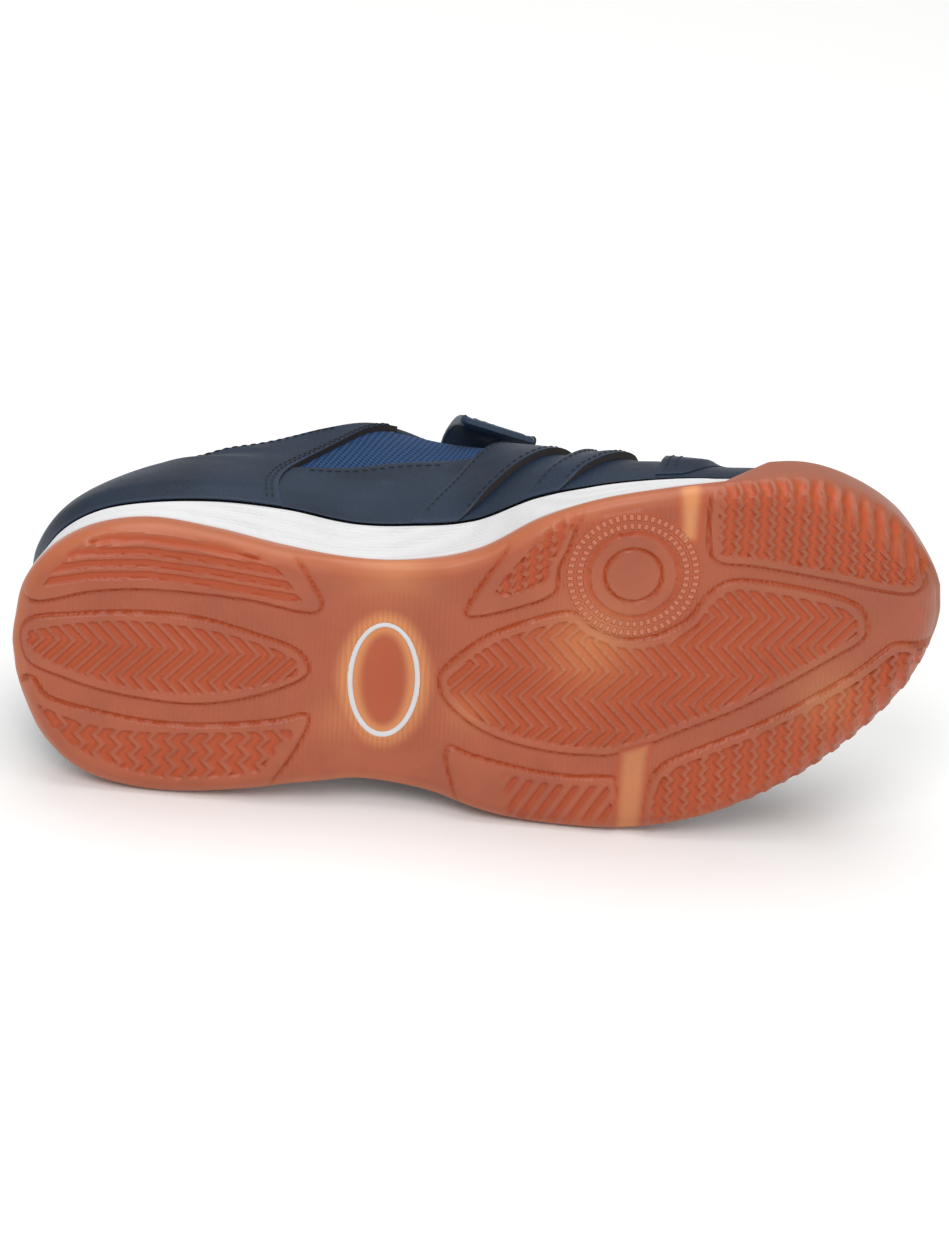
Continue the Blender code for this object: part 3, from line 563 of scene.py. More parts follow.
innerOutlines = {
    "heelMedial": ((27.9, -34.2), (37.0, -34.2), (53.1, -29.4), (65.5, -23.8), (69.3, -19.7),
                   (72.2, -14.1), (71.7, -12.1), (52.0, -17.0), (35.7, -20.8), (22.2, -21.6),
                   (11.5, -21.4), (10.9, -22.5), (15.2, -27.9), (20.1, -31.3)),
    "heelCentre": ((5.7, -9.5), (21.1, -10.8), (34.7, -9.7), (51.0, -5.8), (63.5, -0.7),
                   (69.7, 2.9), (70.9, 6.3), (68.1, 8.6), (57.2, 10.7), (41.8, 10.7),
                   (26.8, 7.4), (12.2, 0.7), (5.9, -4.1)),
    "heelLateral": ((5.8, 11.3), (14.4, 16.1), (25.6, 19.6), (40.8, 21.7), (56.1, 22.7),
                    (67.3, 23.0), (67.0, 25.5), (61.6, 30.4), (57.5, 34.3), (39.7, 34.3),
                    (30.6, 32.6), (20.9, 28.2), (12.2, 22.0), (7.0, 14.7)),
    "ballMedial": ((121.5, -11.4), (126.0, -16.5), (135.4, -26.1), (143.6, -30.2),
                   (137.4, -20.6), (134.6, -13.8), (131.0, -11.6), (124.0, -9.6)),
}
# pattern: (kind, pitch, bend spacing, bend start, row slope), in millimetres
padPatterns = {
    "heelMedial": ("troughs", 3.25, 0, 0, 0),
    "heelCentre": ("chevron", 3.85, 8.7, -8.8, 0.168),
    "heelLateral": ("chevron", 4.6, 2.45, 0.0, 0.168),
    "ballMedial": ("chevron", 3.2, 1.25, 0.0, -0.50),
    "ballCentre": ("chevron", 3.65, 8.2, -8.2, 0.145),
    "ballLateral": ("slots", 4.5, 0, 0, 0),
    "toeLateral": ("chevron", 4.3, 1.6, 0.0, 0.10),
    "toeMedial": ("chevron", 4.3, 1.45, 0.0, 0.08),
}
tread = {
    "rim": 1.9, "floorDepth": 0.85, "toeDepth": 1.05, "channelDepth": 0.75, "grooveDepth": 0.45,
    "station": 0.54, "edgeStation": 0.85, "edgeSteps": 8, "inside": 166,
    "ovalHalf": (9.2, 16.0), "ovalTurn": 6.0, "ovalWell": 2.0, "pivotRadius": 17.2,
    # radius and half width of each groove in the pivot circle
    "pivotGrooves": ((17.5, 0.55), (11.4, 0.60), (7.1, 0.45)),
    # Thin spots where light comes through: along, to the side, size in millimetres, share
    "glows": ((144.0, 5.5, 11.0, 0.40), (203.0, 27.0, 9.0, 0.25), (97.0, -19.0, 9.0, 0.35),
              (81.0, 22.0, 7.0, 0.25), (112.0, 22.0, 6.0, 0.22)),
    "flexLight": {"flexLateral": 0.45, "flexMedial": 0.70},
    "flexLateral": ((149.9, 35.8), (157.8, 34.0), (153.8, 60.2), (146.7, 60.6)),
    "flexMedial": ((168.2, -42.5), (176.0, -42.5), (172.4, -20.0), (168.0, -19.6)),
}


def zigzag(value):
    # Triangle wave: 0 at even whole numbers, 1 at odd ones
    return np.abs((value + 1.0) % 2.0 - 1.0)


def patternTrough(kind, pitch, spacing, start, slope, x, y):
    # Share of a trough (1) or rib (0) at plan places in millimetres
    across = x + crossSlant * y
    if kind == "troughs":
        curve = np.interp(x, (5, 22, 36, 52, 72), (-20.6, -21.8, -20.9, -17.2, -11.6))
        phase = (curve - y) / pitch
        return smoothStep(np.abs((phase % 1.0) - 0.5), 0.40, 0.22)
    if kind == "slots":
        phase = (x + 0.78 * y) / pitch
        bar = smoothStep(np.abs((phase % 1.0) - 0.5), 0.27, 0.13)
        return bar * smoothStep(x, 119.0, 121.5)
    level = (y - slope * x - start) / spacing
    phase = (across + 0.92 * spacing * zigzag(level)) / pitch
    return smoothStep(np.abs((phase % 1.0) - 0.5), 0.40, 0.20)


def padOutline(name):
    table = np.array([(a * last["length"], c * last["ballWidth"]) for a, c in treadPads[name]]) * 1000
    return closedCurve(table, np.arange(0, len(table), 0.25))


def ovalGap(x, y):
    # About how far outside the oval at the waist, in millimetres
    centre = markPlace("oval") * 1000
    turn = math.radians(tread["ovalTurn"])
    u = (x - centre[0]) * math.cos(turn) + (y - centre[1]) * math.sin(turn)
    v = (y - centre[1]) * math.cos(turn) - (x - centre[0]) * math.sin(turn)
    a, b = tread["ovalHalf"]
    size = np.hypot(u / a, v / b)
    return (size - 1) * np.hypot(u, v) / np.maximum(size, 1e-6)


def padFloor(name, gap, spots):
    # Share of the recessed floor inside a pad's rim
    if name in innerOutlines:
        inner = innerOutlines[name]
        inner = closedCurve(np.array(inner), np.arange(0, len(inner), 0.34))
        return smoothStep(outlineGap(spots, inner)[0], -0.35, 0.35)
    floor = smoothStep(gap, tread["rim"] - 0.3, tread["rim"] + 0.4)
    if name == "ballLateral":
        x, y = spots[:, 0], spots[:, 1]
        floor *= smoothStep(y, 33.0, 36.0) * smoothStep(y - 0.1 * x, 42.5, 40.0)
    return floor


def padRelief(spots):
    # Depth under the pads' faces in millimetres, with masks of troughs, grooves and pads
    count = len(spots)
    depth = np.full(count, tread["channelDepth"])
    trough, groove, onPad = np.zeros(count), np.zeros(count), np.zeros(count)
    for name in treadPads:
        outline = padOutline(name)
        low, high = outline.min(axis=0) - 2, outline.max(axis=0) + 2
        near = np.all((spots > low) & (spots < high), axis=1)
        gap = outlineGap(spots[near], outline)[0]
        inside = smoothStep(gap, -0.25, 0.35)
        cut = patternTrough(*padPatterns[name], *spots[near].T) * padFloor(name, gap, spots[near])
        deep = tread["toeDepth"] if "toe" in name else tread["floorDepth"]
        depth[near] = depth[near] * (1 - inside) + inside * cut * deep
        line = smoothStep(np.abs(gap + 0.55), 0.55, 0.15)
        groove[near] = np.maximum(groove[near], line)
        trough[near] = np.maximum(trough[near], cut)
        onPad[near] = np.maximum(onPad[near], inside)
    return depth, trough, groove, onPad


def pivotRelief(spots):
    # The pivot circle under the big toe's joint: its disc, its grooves and what is cut
    radius = np.hypot(*(spots - markPlace("pivot") * 1000).T)
    disc = smoothStep(radius, tread["pivotRadius"] + 0.3, tread["pivotRadius"] - 0.3)
    rings = np.zeros(len(spots))
    for middle, half in tread["pivotGrooves"]:
        rings = np.maximum(rings, smoothStep(np.abs(radius - middle), half + 0.25, half - 0.2))
    floorRing = smoothStep(radius, 11.9, 12.3) * smoothStep(radius, 17.0, 16.7)
    return disc, rings, np.maximum(rings, floorRing * 0.55)


def treadRelief(x, y):
    # Depth under the pads' faces in millimetres, and the masks for colour: painted shade in troughs and
    # grooves, the glow and the ribs
    spots = np.stack((x, y), axis=1)
    depth, trough, groove, onPad = padRelief(spots)
    disc, rings, cut = pivotRelief(spots)
    depth = depth * (1 - disc) + disc * cut * 0.85
    trough = trough * (1 - disc) + disc * cut * 0.85
    onPad = np.maximum(onPad, disc)
    depth += groove * (1 - disc) * tread["grooveDepth"]
    depth = np.maximum(depth, rings * 0.8)
    # The grooves round the pads get the painted shade too
    trough = np.maximum(trough, groove * (1 - disc) * 0.85)
    glow = np.zeros(len(x))
    for key, light in tread["flexLight"].items():
        gap = outlineGap(spots, np.array(tread[key]))[0]
        band = smoothStep(gap, -1.0, 0.8)
        wave = np.sin((x + crossSlant * y) * math.tau / 1.1)
        depth = depth * (1 - band) + band * (0.95 + 0.10 * wave)
        side = smoothStep(np.abs(gap), 1.1, 0.2)
        # Painted shade along both sides of each flex band
        trough = np.maximum(trough * (1 - band), side * 0.6)
        glow = np.maximum(glow, smoothStep(gap, -0.4, 2.4) * light)
        onPad = onPad * (1 - band) + band
    away = ovalGap(x, y)
    glow = np.maximum(glow, smoothStep(away, 4.5, 0.0) * 0.75)
    for along, side, size, power in tread["glows"]:
        spread = np.exp(-((x - along) ** 2 + (y - side) ** 2) / size ** 2)
        glow = np.maximum(glow, spread * power)
    # At the waist the ribs stop at an arc on each side, and the oval sits in a well
    waist = smoothStep(x, 74, 80) * smoothStep(x, 112, 106)
    smooth = smoothStep(y - (x - 94) ** 2 / 46, -10.5, -13.5)
    smooth = smooth + smoothStep(y + (x - 94) ** 2 / 60, 32.0, 34.0)
    well = smoothStep(away, -0.1, -0.9)
    depth = depth * (1 - smoothStep(away, 1.2, 0.2) * 0.6) * (1 - well) + tread["ovalWell"] * well
    ribs = np.clip(1 - onPad, 0, 1) * (1 - waist * np.clip(smooth, 0, 1)) * (1 - groove)
    return depth, trough, glow, ribs


def stationPlaces():
    # Sections along the sole, close enough together for the ribs
    fine = np.linspace(0, tip, 6000)
    medial, lateral = soleEdge(fine), soleEdge(placeOn("lateral", fine))
    step = np.zeros(len(fine))
    for edge in (medial, lateral):
        move = np.diff(edge, axis=0) * 1000
        step[1:] = np.maximum(step[1:], np.abs(move[:, 0]) / tread["station"])
        step[1:] = np.maximum(step[1:], np.linalg.norm(move, axis=1) / tread["edgeStation"])
    total = np.cumsum(step)
    return np.interp(np.linspace(0, total[-1], int(total[-1]) + 1), total, fine)


def makeGumSole():
    stations = stationPlaces()
    medial = soleEdge(stations) * 1000
    lateral = soleEdge(placeOn("lateral", stations)) * 1000
    width = np.linalg.norm(lateral - medial, axis=1)
    steps = tread["edgeSteps"]
    reach = np.minimum(roundAt(medial[:, 0] * mm) * 1000, width * 0.45)
    curl = 1 - np.sin(np.radians(np.linspace(90, 0, steps + 1)))
    shares = []
    for w, r in zip(width, reach):
        rim = curl * r / w
        flatPart = np.linspace(rim[-1], 1 - rim[-1], tread["inside"])[1:-1]
        shares.append(np.concatenate((rim, flatPart, 1 - rim[::-1])))
    shares = np.array(shares)
    plan = medial[:, None] + (lateral - medial)[:, None] * shares[..., None]
    flat = plan.reshape(-1, 2)
    loop = np.concatenate((np.arange(0, tip, 0.05), placeOn("lateral", np.arange(tip, -0.01, -0.05))))
    outline = soleEdge(loop) * 1000
    gap, near = outlineGap(flat, outline)
    gap = np.maximum(np.abs(gap), 0)
    away = near - flat
    out = away / np.maximum(gap, 1e-6)[:, None]
    columns = plan.shape[1]
    for column, places in ((0, stations), (columns - 1, placeOn("lateral", stations))):
        index = np.arange(len(stations)) * columns + column
        gap[index] = 0
        out[index] = edgeNormal(places)
    radius = roundAt(flat[:, 0] * mm) * 1000
    lean = np.clip(1 - gap / radius, 0, 1)
    base = treadHeight(flat[:, 0] * mm) * 1000 + radius * (1 - np.sqrt(1 - lean ** 2))
    depth, trough, glow, ribs = treadRelief(flat[:, 0], flat[:, 1])
    ribs = ribs * (0.15 + 0.85 * smoothStep(gap, 2.0, 6.0))
    toeWrap = smoothStep(flat[:, 0], 176, 184)
    fade = np.where(lean > 0, 1 - smoothStep(lean, 0.55, 0.95) * (1 - toeWrap), 1.0)
    fade = fade * (1 - smoothStep(lean, 0.93, 1.0))
    normal = np.concatenate((out * lean[:, None], -np.sqrt(1 - lean ** 2)[:, None]), axis=1)
    points = np.concatenate((flat, base[:, None]), axis=1) - normal * (depth * fade)[:, None]
    count = len(stations)
    faces = gridFaces(count, columns)
    # The side goes up from the tread's rim to the gum's top edge and in over the lip
    rim = np.concatenate((np.arange(count) * columns, (np.arange(count) * columns + columns - 1)[::-1]))
    rimPlaces = np.concatenate((stations, placeOn("lateral", stations)[::-1]))
    rimPoints = points[rim] * mm
    x = rimPoints[:, 0]
    top = sideHeight(x, 1)
    low = rimPoints[:, 2]
    rings = []
    lip, outside = last["lipThickness"], 0.0006
    for share, inset in ((0.25, 0.1), (0.5, 0.35), (0.75, 0.7), (0.93, 1.0)):
        edge = soleEdge(rimPlaces, outside * inset)
        rings.append(np.column_stack((edge, low + (top - low) * share)))
    for rise, inset in ((-0.0001, outside + 0.0004), (0.0, 0.0011), (0.0, lip), (-0.0022, lip),
                        (-0.006, lip)):
        edge = soleEdge(rimPlaces, inset)
        rings.append(np.column_stack((edge, np.maximum(top + rise, low * (rise < -0.001) * 0.9))))
    first = len(points)
    size = len(rim)
    everything = np.concatenate([points * mm] + rings)
    for k in range(size):
        n = (k + 1) % size
        faces.append([int(rim[k]), int(rim[n]), first + n, first + k])
    faces += gridFaces(len(rings), size, True, first)
    extra = np.zeros(len(rings) * size)
    allX = everything[:, 0] * 1000
    edge = np.concatenate((smoothStep(lean, 0.25, 0.95), np.ones(len(extra))))
    allTrough = np.concatenate((trough, extra))
    # trough carries the painted shade of the recesses, glow the painted light through thin rubber
    marks = {
        "trough": np.concatenate((trough * fade, extra)), "glow": np.concatenate((glow, extra)),
        "ribs": np.concatenate((ribs * fade, extra)), "edge": edge * (1 - smoothStep(allX, 150, 190) * 0.8),
        "toe": smoothStep(allX, 172, 200) * (0.35 + 0.65 * edge) * (1 - allTrough * 0.5),
    }
    sole = addMesh("gumSole", everything, faces, [gumRubber], marks)
    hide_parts("outsole")
    print("gum sole:", len(faces), "faces,", count, "stations")


makeGumSole()


def makeMidsole():
    side = {"levels": 36, "step": 0.5 * mm, "grooves": 9, "places": 420, "toe": (0.745, 0.770)}
    half = np.linspace(0, tip, side["places"] // 2)
    places = np.concatenate((half, placeOn("lateral", half)[::-1]))
    x = soleEdge(places)[:, 0]
    inToe = smoothStep(x / last["length"], *side["toe"])
    overLip = sideHeight(x, 1) + last["gap"]
    low = overLip + (sideHeight(x, 2) - 0.004 - overLip) * inToe
    high = sideHeight(x, 2)
    lower = last["lipThickness"] + last["gap"] + 0.2 * mm
    inset = closedCurve(rows, places)[:, 2]
    start = side["step"] * (1 - inToe) + (last["lipThickness"] + last["gap"]) * inToe
    rings = [np.column_stack((soleEdge(places, lower), low - 0.002))]
    for level in range(side["levels"] + 1):
        share = level / side["levels"]
        groove = 0.32 * mm * (0.5 - 0.5 * math.cos(math.tau * share * side["grooves"])) * (1 - inToe)
        curl = 0.5 * mm * max(0.0, (share - 0.93) / 0.07) ** 2
        rings.append(np.column_stack((soleEdge(places, start + (inset - start) * share + groove + curl),
                                      low + (high - low) * share)))
    size = len(places)
    faces = gridFaces(len(rings), size, True)
    top = (len(rings) - 1) * size
    faces += [[top + k, top + k + 1, top + size - 2 - k, top + size - 1 - k] for k in range(size // 2 - 1)]
    foam = addMesh("foamMidsole", np.concatenate(rings), faces, [whiteFoam])
    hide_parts("midsole")


def ovalPoints(grow, over, count=96):
    # over is the height above the tread's own plane there
    centre = markPlace("oval")
    turn = math.radians(tread["ovalTurn"])
    angle = np.arange(count) * math.tau / count
    u = (tread["ovalHalf"][0] * mm + grow) * np.cos(angle)
    v = (tread["ovalHalf"][1] * mm + grow) * np.sin(angle)
    x = centre[0] + u * math.cos(turn) - v * math.sin(turn)
    y = centre[1] + u * math.sin(turn) + v * math.cos(turn)
    return np.column_stack((x, y, treadHeight(x) + over))


def makeOval():
    # White ring at the waist, a lens of gum inside it
    ring = {"width": 1.4 * mm, "root": 2.2 * mm, "face": 0.30 * mm, "round": 0.25 * mm}
    half = [(0.0, ring["root"]), (0.0, ring["face"] + ring["round"]), (-ring["round"], ring["face"])]
    loops = [ovalPoints(grow, over) for grow, over in half]
    loops += [ovalPoints(-ring["width"] - grow, over) for grow, over in half[::-1]]
    band = addMesh("ovalRing", np.concatenate(loops), gridFaces(6, 96, True), [whiteFoam])
    loops = [ovalPoints(-ring["width"], ring["root"])]
    for share in np.linspace(0.0, 1.0, 14):
        dish = 0.35 * mm * math.sin(share * math.pi / 2)
        loops.append(ovalPoints(-ring["width"] - share * 6.6 * mm, 0.85 * mm - dish))
    points = np.concatenate(loops)
    faces = gridFaces(len(loops), 96, True) + [[len(points) - 96 + k for k in range(96)]]
    level = np.repeat([0.0] + list(np.linspace(0.0, 1.0, 14)), 96)
    # The lens is painted with shade that deepens towards its middle, and a painted glow at its rim
    lens = addMesh("ovalLens", points, faces, [gumRubber],
                   {"trough": 0.25 + 0.35 * level, "glow": smoothStep(level, 0.5, 0.0) * 0.75,
                    "ribs": level * 0, "edge": level * 0, "toe": level * 0})
    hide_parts("oval_insert")


makeMidsole()
makeOval()
print("midsole and oval are cast")

# Section where the heel panel ends, at the feather line, half way up and at the top
heelEdge = (6.90, 7.40, 10.00)


def edgeSection(edge, t):
    low, middle, high = edge
    return low * (1 - t) * (1 - 2 * t) + middle * 4 * t * (1 - t) + high * t * (2 * t - 1)


# The upper: one shell, blue mesh showing in the quarters and navy elsewhere
shell = {"around": 420, "up": 46, "bandMiddle": (9.35, 11.30, 12.45), "gapEnd": (11.05, 12.70, 13.55),
         "collarPad": 2.6 * mm, "topRoll": 1.1 * mm}
# Creases: side, section, share up, length and width in millimetres, depth, slant
creases = (
    ("medial", 5.6, 0.80, 26, 2.6, 0.7, -0.25), ("medial", 4.6, 0.62, 18, 3.0, 0.5, 0.30),
    ("medial", 12.4, 0.42, 16, 2.2, 0.6, 0.9), ("medial", 13.4, 0.46, 16, 2.4, 0.6, 0.8),
    ("lateral", 12.6, 0.44, 18, 2.4, 0.7, 0.9), ("lateral", 13.5, 0.48, 16, 2.2, 0.6, 0.8),
    ("lateral", 5.2, 0.78, 24, 2.8, 0.7, -0.2), ("lateral", 8.6, 0.66, 18, 2.6, 0.5, 0.4),
)


def creaseDepth(places, t):
    # Troughs with a soft ridge on each side, in the surface's own directions
    point = upperPoint(places, t)
    push = np.zeros(point.shape[:-1])
    for side, section, level, length, width, depth, slant in creases:
        centre = upperPoint(np.array(float(placeOn(side, section))), np.array(level))
        rel = (point - centre) * 1000
        along = rel[..., 0] * math.cos(slant) + rel[..., 2] * math.sin(slant)
        across = -rel[..., 0] * math.sin(slant) + rel[..., 2] * math.cos(slant)
        near = np.exp(-(along / length * 1.8) ** 2 - (rel[..., 1] / 16) ** 2)
        fold = -np.exp(-(across / width) ** 2)
        for place, height in ((2, 0.55), (-2, 0.45)):
            fold += height * np.exp(-((across - place * width) / width) ** 2)
        push += depth * mm * near * fold
    return push


def dressPoint(places, t, offset=0.0):
    places, t = np.broadcast_arrays(np.asarray(places, float), np.asarray(t, float))
    return upperPoint(places, t, creaseDepth(places, t) + offset)


def clothPlace(points, columns):
    # Lengths along and up a grid, for a weave that lies flat on it
    grid = points.reshape(-1, columns, 3)
    along = np.zeros(grid.shape[:2])
    up = np.zeros(grid.shape[:2])
    along[:, 1:] = np.cumsum(np.linalg.norm(np.diff(grid, axis=1), axis=2), axis=1)
    up[1:] = np.cumsum(np.linalg.norm(np.diff(grid, axis=0), axis=2), axis=0)
    middle = len(grid) // 2
    return np.stack((np.broadcast_to(along[middle], along.shape), up, up * 0), axis=-1)


def shellPlaces():
    half = np.linspace(0, tip, shell["around"] // 2)
    return np.concatenate((half, placeOn("lateral", half)[::-1]))


def collarPadding(places):
    # Foam in the collar, thickest round the ankle and gone at the throat
    section = np.where(places <= tip, places, 2 * sectionCount - 1 - places)
    return shell["collarPad"] * (1 - smoothStep(section, 8.2, 10.2))


def meshWindow(section, t):
    # Mesh shows between the heel panel and the rear band, and high between the bands
    quarter = (section > edgeSection(heelEdge, t) - 0.3) & (section < edgeSection(shell["bandMiddle"], t))
    between = (section > edgeSection(shell["bandMiddle"], t)) & (section < edgeSection(shell["gapEnd"], t))
    return (quarter & (t > 0.30)) | (between & (t > 0.47))


def makeUpper():
    places = shellPlaces()
    size = len(places)
    ts = np.linspace(0, 1, shell["up"])
    outer = [dressPoint(places, np.full(size, t)) for t in ts]
    pad = collarPadding(places)
    thick = last["wall"] + pad
    roll = []
    for angle in np.linspace(0, math.pi, 9)[1:-1]:
        ring = dressPoint(places, np.ones(size), -thick * (1 - math.cos(angle)) / 2)
        ring[:, 2] += (shell["topRoll"] + pad * 0.25) * math.sin(angle)
        roll.append(ring)
    inner = []
    for t in ts[::-1]:
        swell = pad * smoothStep(t, 0.42, 0.78)
        inner.append(upperPoint(places, np.full(size, t), -last["wall"] - swell))
    rings = outer + roll + inner
    points = np.concatenate(rings)
    faces = gridFaces(len(rings), size, True)
    section = np.where(places <= tip, places, 2 * sectionCount - 1 - places)
    index = []
    for ring in range(len(rings) - 1):
        if ring < shell["up"] - 2:
            inMesh = meshWindow(section, ts[ring])
            index += list(np.where(inMesh, 1, 0))
        elif ring < shell["up"] + len(roll) // 2:
            index += [0] * size
        else:
            index += [2] * size
    cloth = clothPlace(points, size)
    body = addMesh("upperShell", points, faces, [navyLeather, blueMesh, darkLining],
                   {"cloth": cloth, "edge": np.zeros(len(points))}, index)
    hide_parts("upper")


makeUpper()

stitchPoints, stitchFaces = [], []
# rings: share of the stitch's length, share of its radius, height in millimetres
thread = {"pitch": 2.4 * mm, "length": 1.85 * mm, "radius": 0.19 * mm, "lift": -0.04 * mm,
          "rings": ((-0.02, 0.35, -0.10), (0.16, 0.9, 0.10), (0.5, 1.0, 0.16), (0.84, 0.9, 0.10),
                    (1.02, 0.35, -0.10))}


def sewAlong(path, normals):
    # Small flattened capsules, one for each stitch that shows
    path = np.asarray(path)
    length = np.concatenate(([0.0], np.cumsum(np.linalg.norm(np.diff(path, axis=0), axis=1))))
    for start in np.arange(0.4 * mm, length[-1] - thread["length"], thread["pitch"]):
        spots = [np.array([np.interp(start + thread["length"] * share, length, path[:, k]) for k in range(3)])
                 for share in (0.0, 1.0)]
        normal = np.array([np.interp(start, length, normals[:, k]) for k in range(3)])
        way = spots[1] - spots[0]
        way /= np.linalg.norm(way)
        side = np.cross(way, normal)
        side /= np.linalg.norm(side)
        first = sum(len(p) for p in stitchPoints)
        ring = []
        for share, fat, lift in thread["rings"]:
            centre = spots[0] + (spots[1] - spots[0]) * share + normal * (lift * mm + thread["lift"])
            for k in range(6):
                angle = math.tau * k / 6
                spoke = side * math.cos(angle) * 1.15 + normal * math.sin(angle) * 0.8
                ring.append(centre + spoke * thread["radius"] * fat)
        stitchPoints.append(np.array(ring))
        stitchFaces.extend(gridFaces(5, 6, True, first))
        stitchFaces.append([first + k for k in range(6)])
        stitchFaces.append([first + 24 + k for k in range(6)])


# Overlays on each side: rear edge, front edge, height, node; edges are section numbers at
# the feather line, half way up and at the top
overlays = {
    "quarterPanel": ((7.02, 7.52, 10.12), (8.83, 10.58, 11.88), 0.40, "quarter_panel"),
    "rearBand": ((8.95, 10.70, 12.00), (9.75, 11.90, 12.90), 0.95, "band_rear"),
    "frontBand": ((10.75, 12.35, 13.10), (11.35, 13.05, 14.00), 0.93, "band_front"),
}
layer = {"under": 0.05 * mm, "top": 1.75 * mm, "round": 0.35 * mm, "taper": 0.13,
         "panelSink": -0.55 * mm, "bandLift": 0.15 * mm, "rearUnder": -0.35, "frontUnder": 0.30}
heelSpan = (0.0, 0.94)
toeEdge, toeSpan = (12.70, 13.50, 14.60), (0.03, 0.30, 0.62)


def layPatch(name, places, ts, top, material, node=None, seams=()):
    # A leather piece with cut edges: places and ts are grids on the upper's surface
    rowsHere, columns = places.shape
    border = np.zeros(places.shape)
    border[0], border[-1], border[:, 0], border[:, -1] = 1, 1, 1, 1
    thin = 1 - smoothStep(ts - ts[:, :1], 0.0, layer["taper"])
    face = dressPoint(places, ts, top * (1 - thin * 0.75) - border * layer["round"] * 0.35)
    foot = dressPoint(places, ts, np.full(places.shape, layer["under"]))
    rim = [(0, k) for k in range(columns)] + [(k, columns - 1) for k in range(1, rowsHere)]
    rim += [(rowsHere - 1, k) for k in range(columns - 2, -1, -1)]
    rim += [(k, 0) for k in range(rowsHere - 2, 0, -1)]
    points = np.concatenate((face.reshape(-1, 3), [face[r] for r in rim], [foot[r] for r in rim]))
    faces = gridFaces(rowsHere, columns)
    index = [0] * len(faces)
    first, size = rowsHere * columns, len(rim)
    faces += gridFaces(2, size, True, first)
    index += [0 if r[1] == 0 else 1 for r in rim]
    wear = np.concatenate((border.ravel() * 0.8, np.ones(2 * size)))
    piece = addMesh(name, points, faces, [material, rawEdge], {"edge": wear}, index)
    if node:
        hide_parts(node)
    for places1, ts1 in seams:
        thin = 1 - smoothStep(ts1 - ts.min(), 0.0, layer["taper"])
        path = dressPoint(places1, ts1, top * (1 - thin * 0.75))
        sewAlong(path, upperNormal(places1, ts1))
    return piece


def strip(side, rear, front, low, high, across, up):
    ts = np.linspace(low, high, up)[None, :] + np.zeros((across, 1))
    share = np.linspace(0, 1, across)[:, None]
    start, end = edgeSection(rear, ts), edgeSection(front, ts)
    return placeOn(side, start + (end - start) * share), ts


def seamLine(side, edge, low, high, shift=0.0, count=60):
    ts = np.linspace(low, high, count)
    return placeOn(side, edgeSection(edge, ts) + shift), ts


def layOverlay(name, side, rear, front, high, node):
    panel = name == "quarterPanel"
    lift = layer["panelSink"] if panel else layer["bandLift"]
    if panel:
        rear = tuple(np.add(rear, layer["rearUnder"]))
        front = tuple(np.add(front, layer["frontUnder"]))
        # One seam under the panel's top edge
        start = edgeSection(rear, high - 0.03) + 0.5
        end = edgeSection(front, high - 0.03) - 0.6
        seams = [(placeOn(side, np.linspace(start, end, 50)), np.full(50, high - 0.035))]
    else:
        seams = [seamLine(side, rear, 0.05, high - 0.02, 0.09),
                 seamLine(side, front, 0.05, high - 0.02, -0.10)]
    places, ts = strip(side, rear, front, 0.0, high, 22, 44)
    layPatch(name + side.capitalize(), places, ts, layer["top"] + lift, navyLeather,
             f"{node}_{side}", seams)


def makeOverlays():
    for name, (rear, front, high, node) in overlays.items():
        for side in ("medial", "lateral"):
            layOverlay(name, side, rear, front, high, node)
    across = np.linspace(-1, 1, 150)[:, None]
    ts = np.linspace(*heelSpan, 40)[None, :] + np.zeros((150, 1))
    places = -0.5 + across * (edgeSection(heelEdge, ts) + 0.5)
    seams = []
    for side in ("medial", "lateral"):
        for shift in (-0.10, -0.19):
            seams.append(seamLine(side, heelEdge, 0.04, heelSpan[1], shift))
    seams.append((np.linspace(-9.2, 8.2, 300), np.full(300, heelSpan[1] - 0.04)))
    layPatch("heelPanel", places, ts, layer["top"] + 0.1 * mm, navyLeather, "heel_panel", seams)
    middle = sectionCount - 0.5
    low, aboveWrap, high = toeSpan
    start = low + (aboveWrap - low) * smoothStep(1 - np.abs(across), 0.05, 0.15)
    ts = start + (high - start) * np.linspace(0, 1, 34)[None, :]
    places = middle + across * (middle - edgeSection(toeEdge, ts))
    seams = []
    line = np.linspace(0.08, high - 0.01, 70)
    for shift in (0.10, 0.22):
        seams.append((edgeSection(toeEdge, line) + shift, line))
        seams.append((placeOn("lateral", edgeSection(toeEdge, line) + shift), line))
    seams.append((np.linspace(14.9, 24.1, 160), np.full(160, high - 0.03)))
    layPatch("toeOverlay", places, ts, layer["top"], navyLeather, "toe_overlay", seams)


makeOverlays()
print("overlays are laid")


def makeThroatFacing():
    # Folded edging along the collar and throat, proud of the top line
    facing = {"low": 0.93, "high": 1.0, "top": 2.2 * mm, "places": 300}
    half = np.linspace(9.6, tip, facing["places"] // 2)
    places = np.concatenate((half, placeOn("lateral", half)[::-1]))[:, None] + np.zeros((1, 6))
    ts = np.linspace(facing["low"], facing["high"], 6)[None, :] + np.zeros((len(places), 1))
    piece = layPatch("throatFacing", places, ts, facing["top"], navyLeather)


makeThroatFacing()


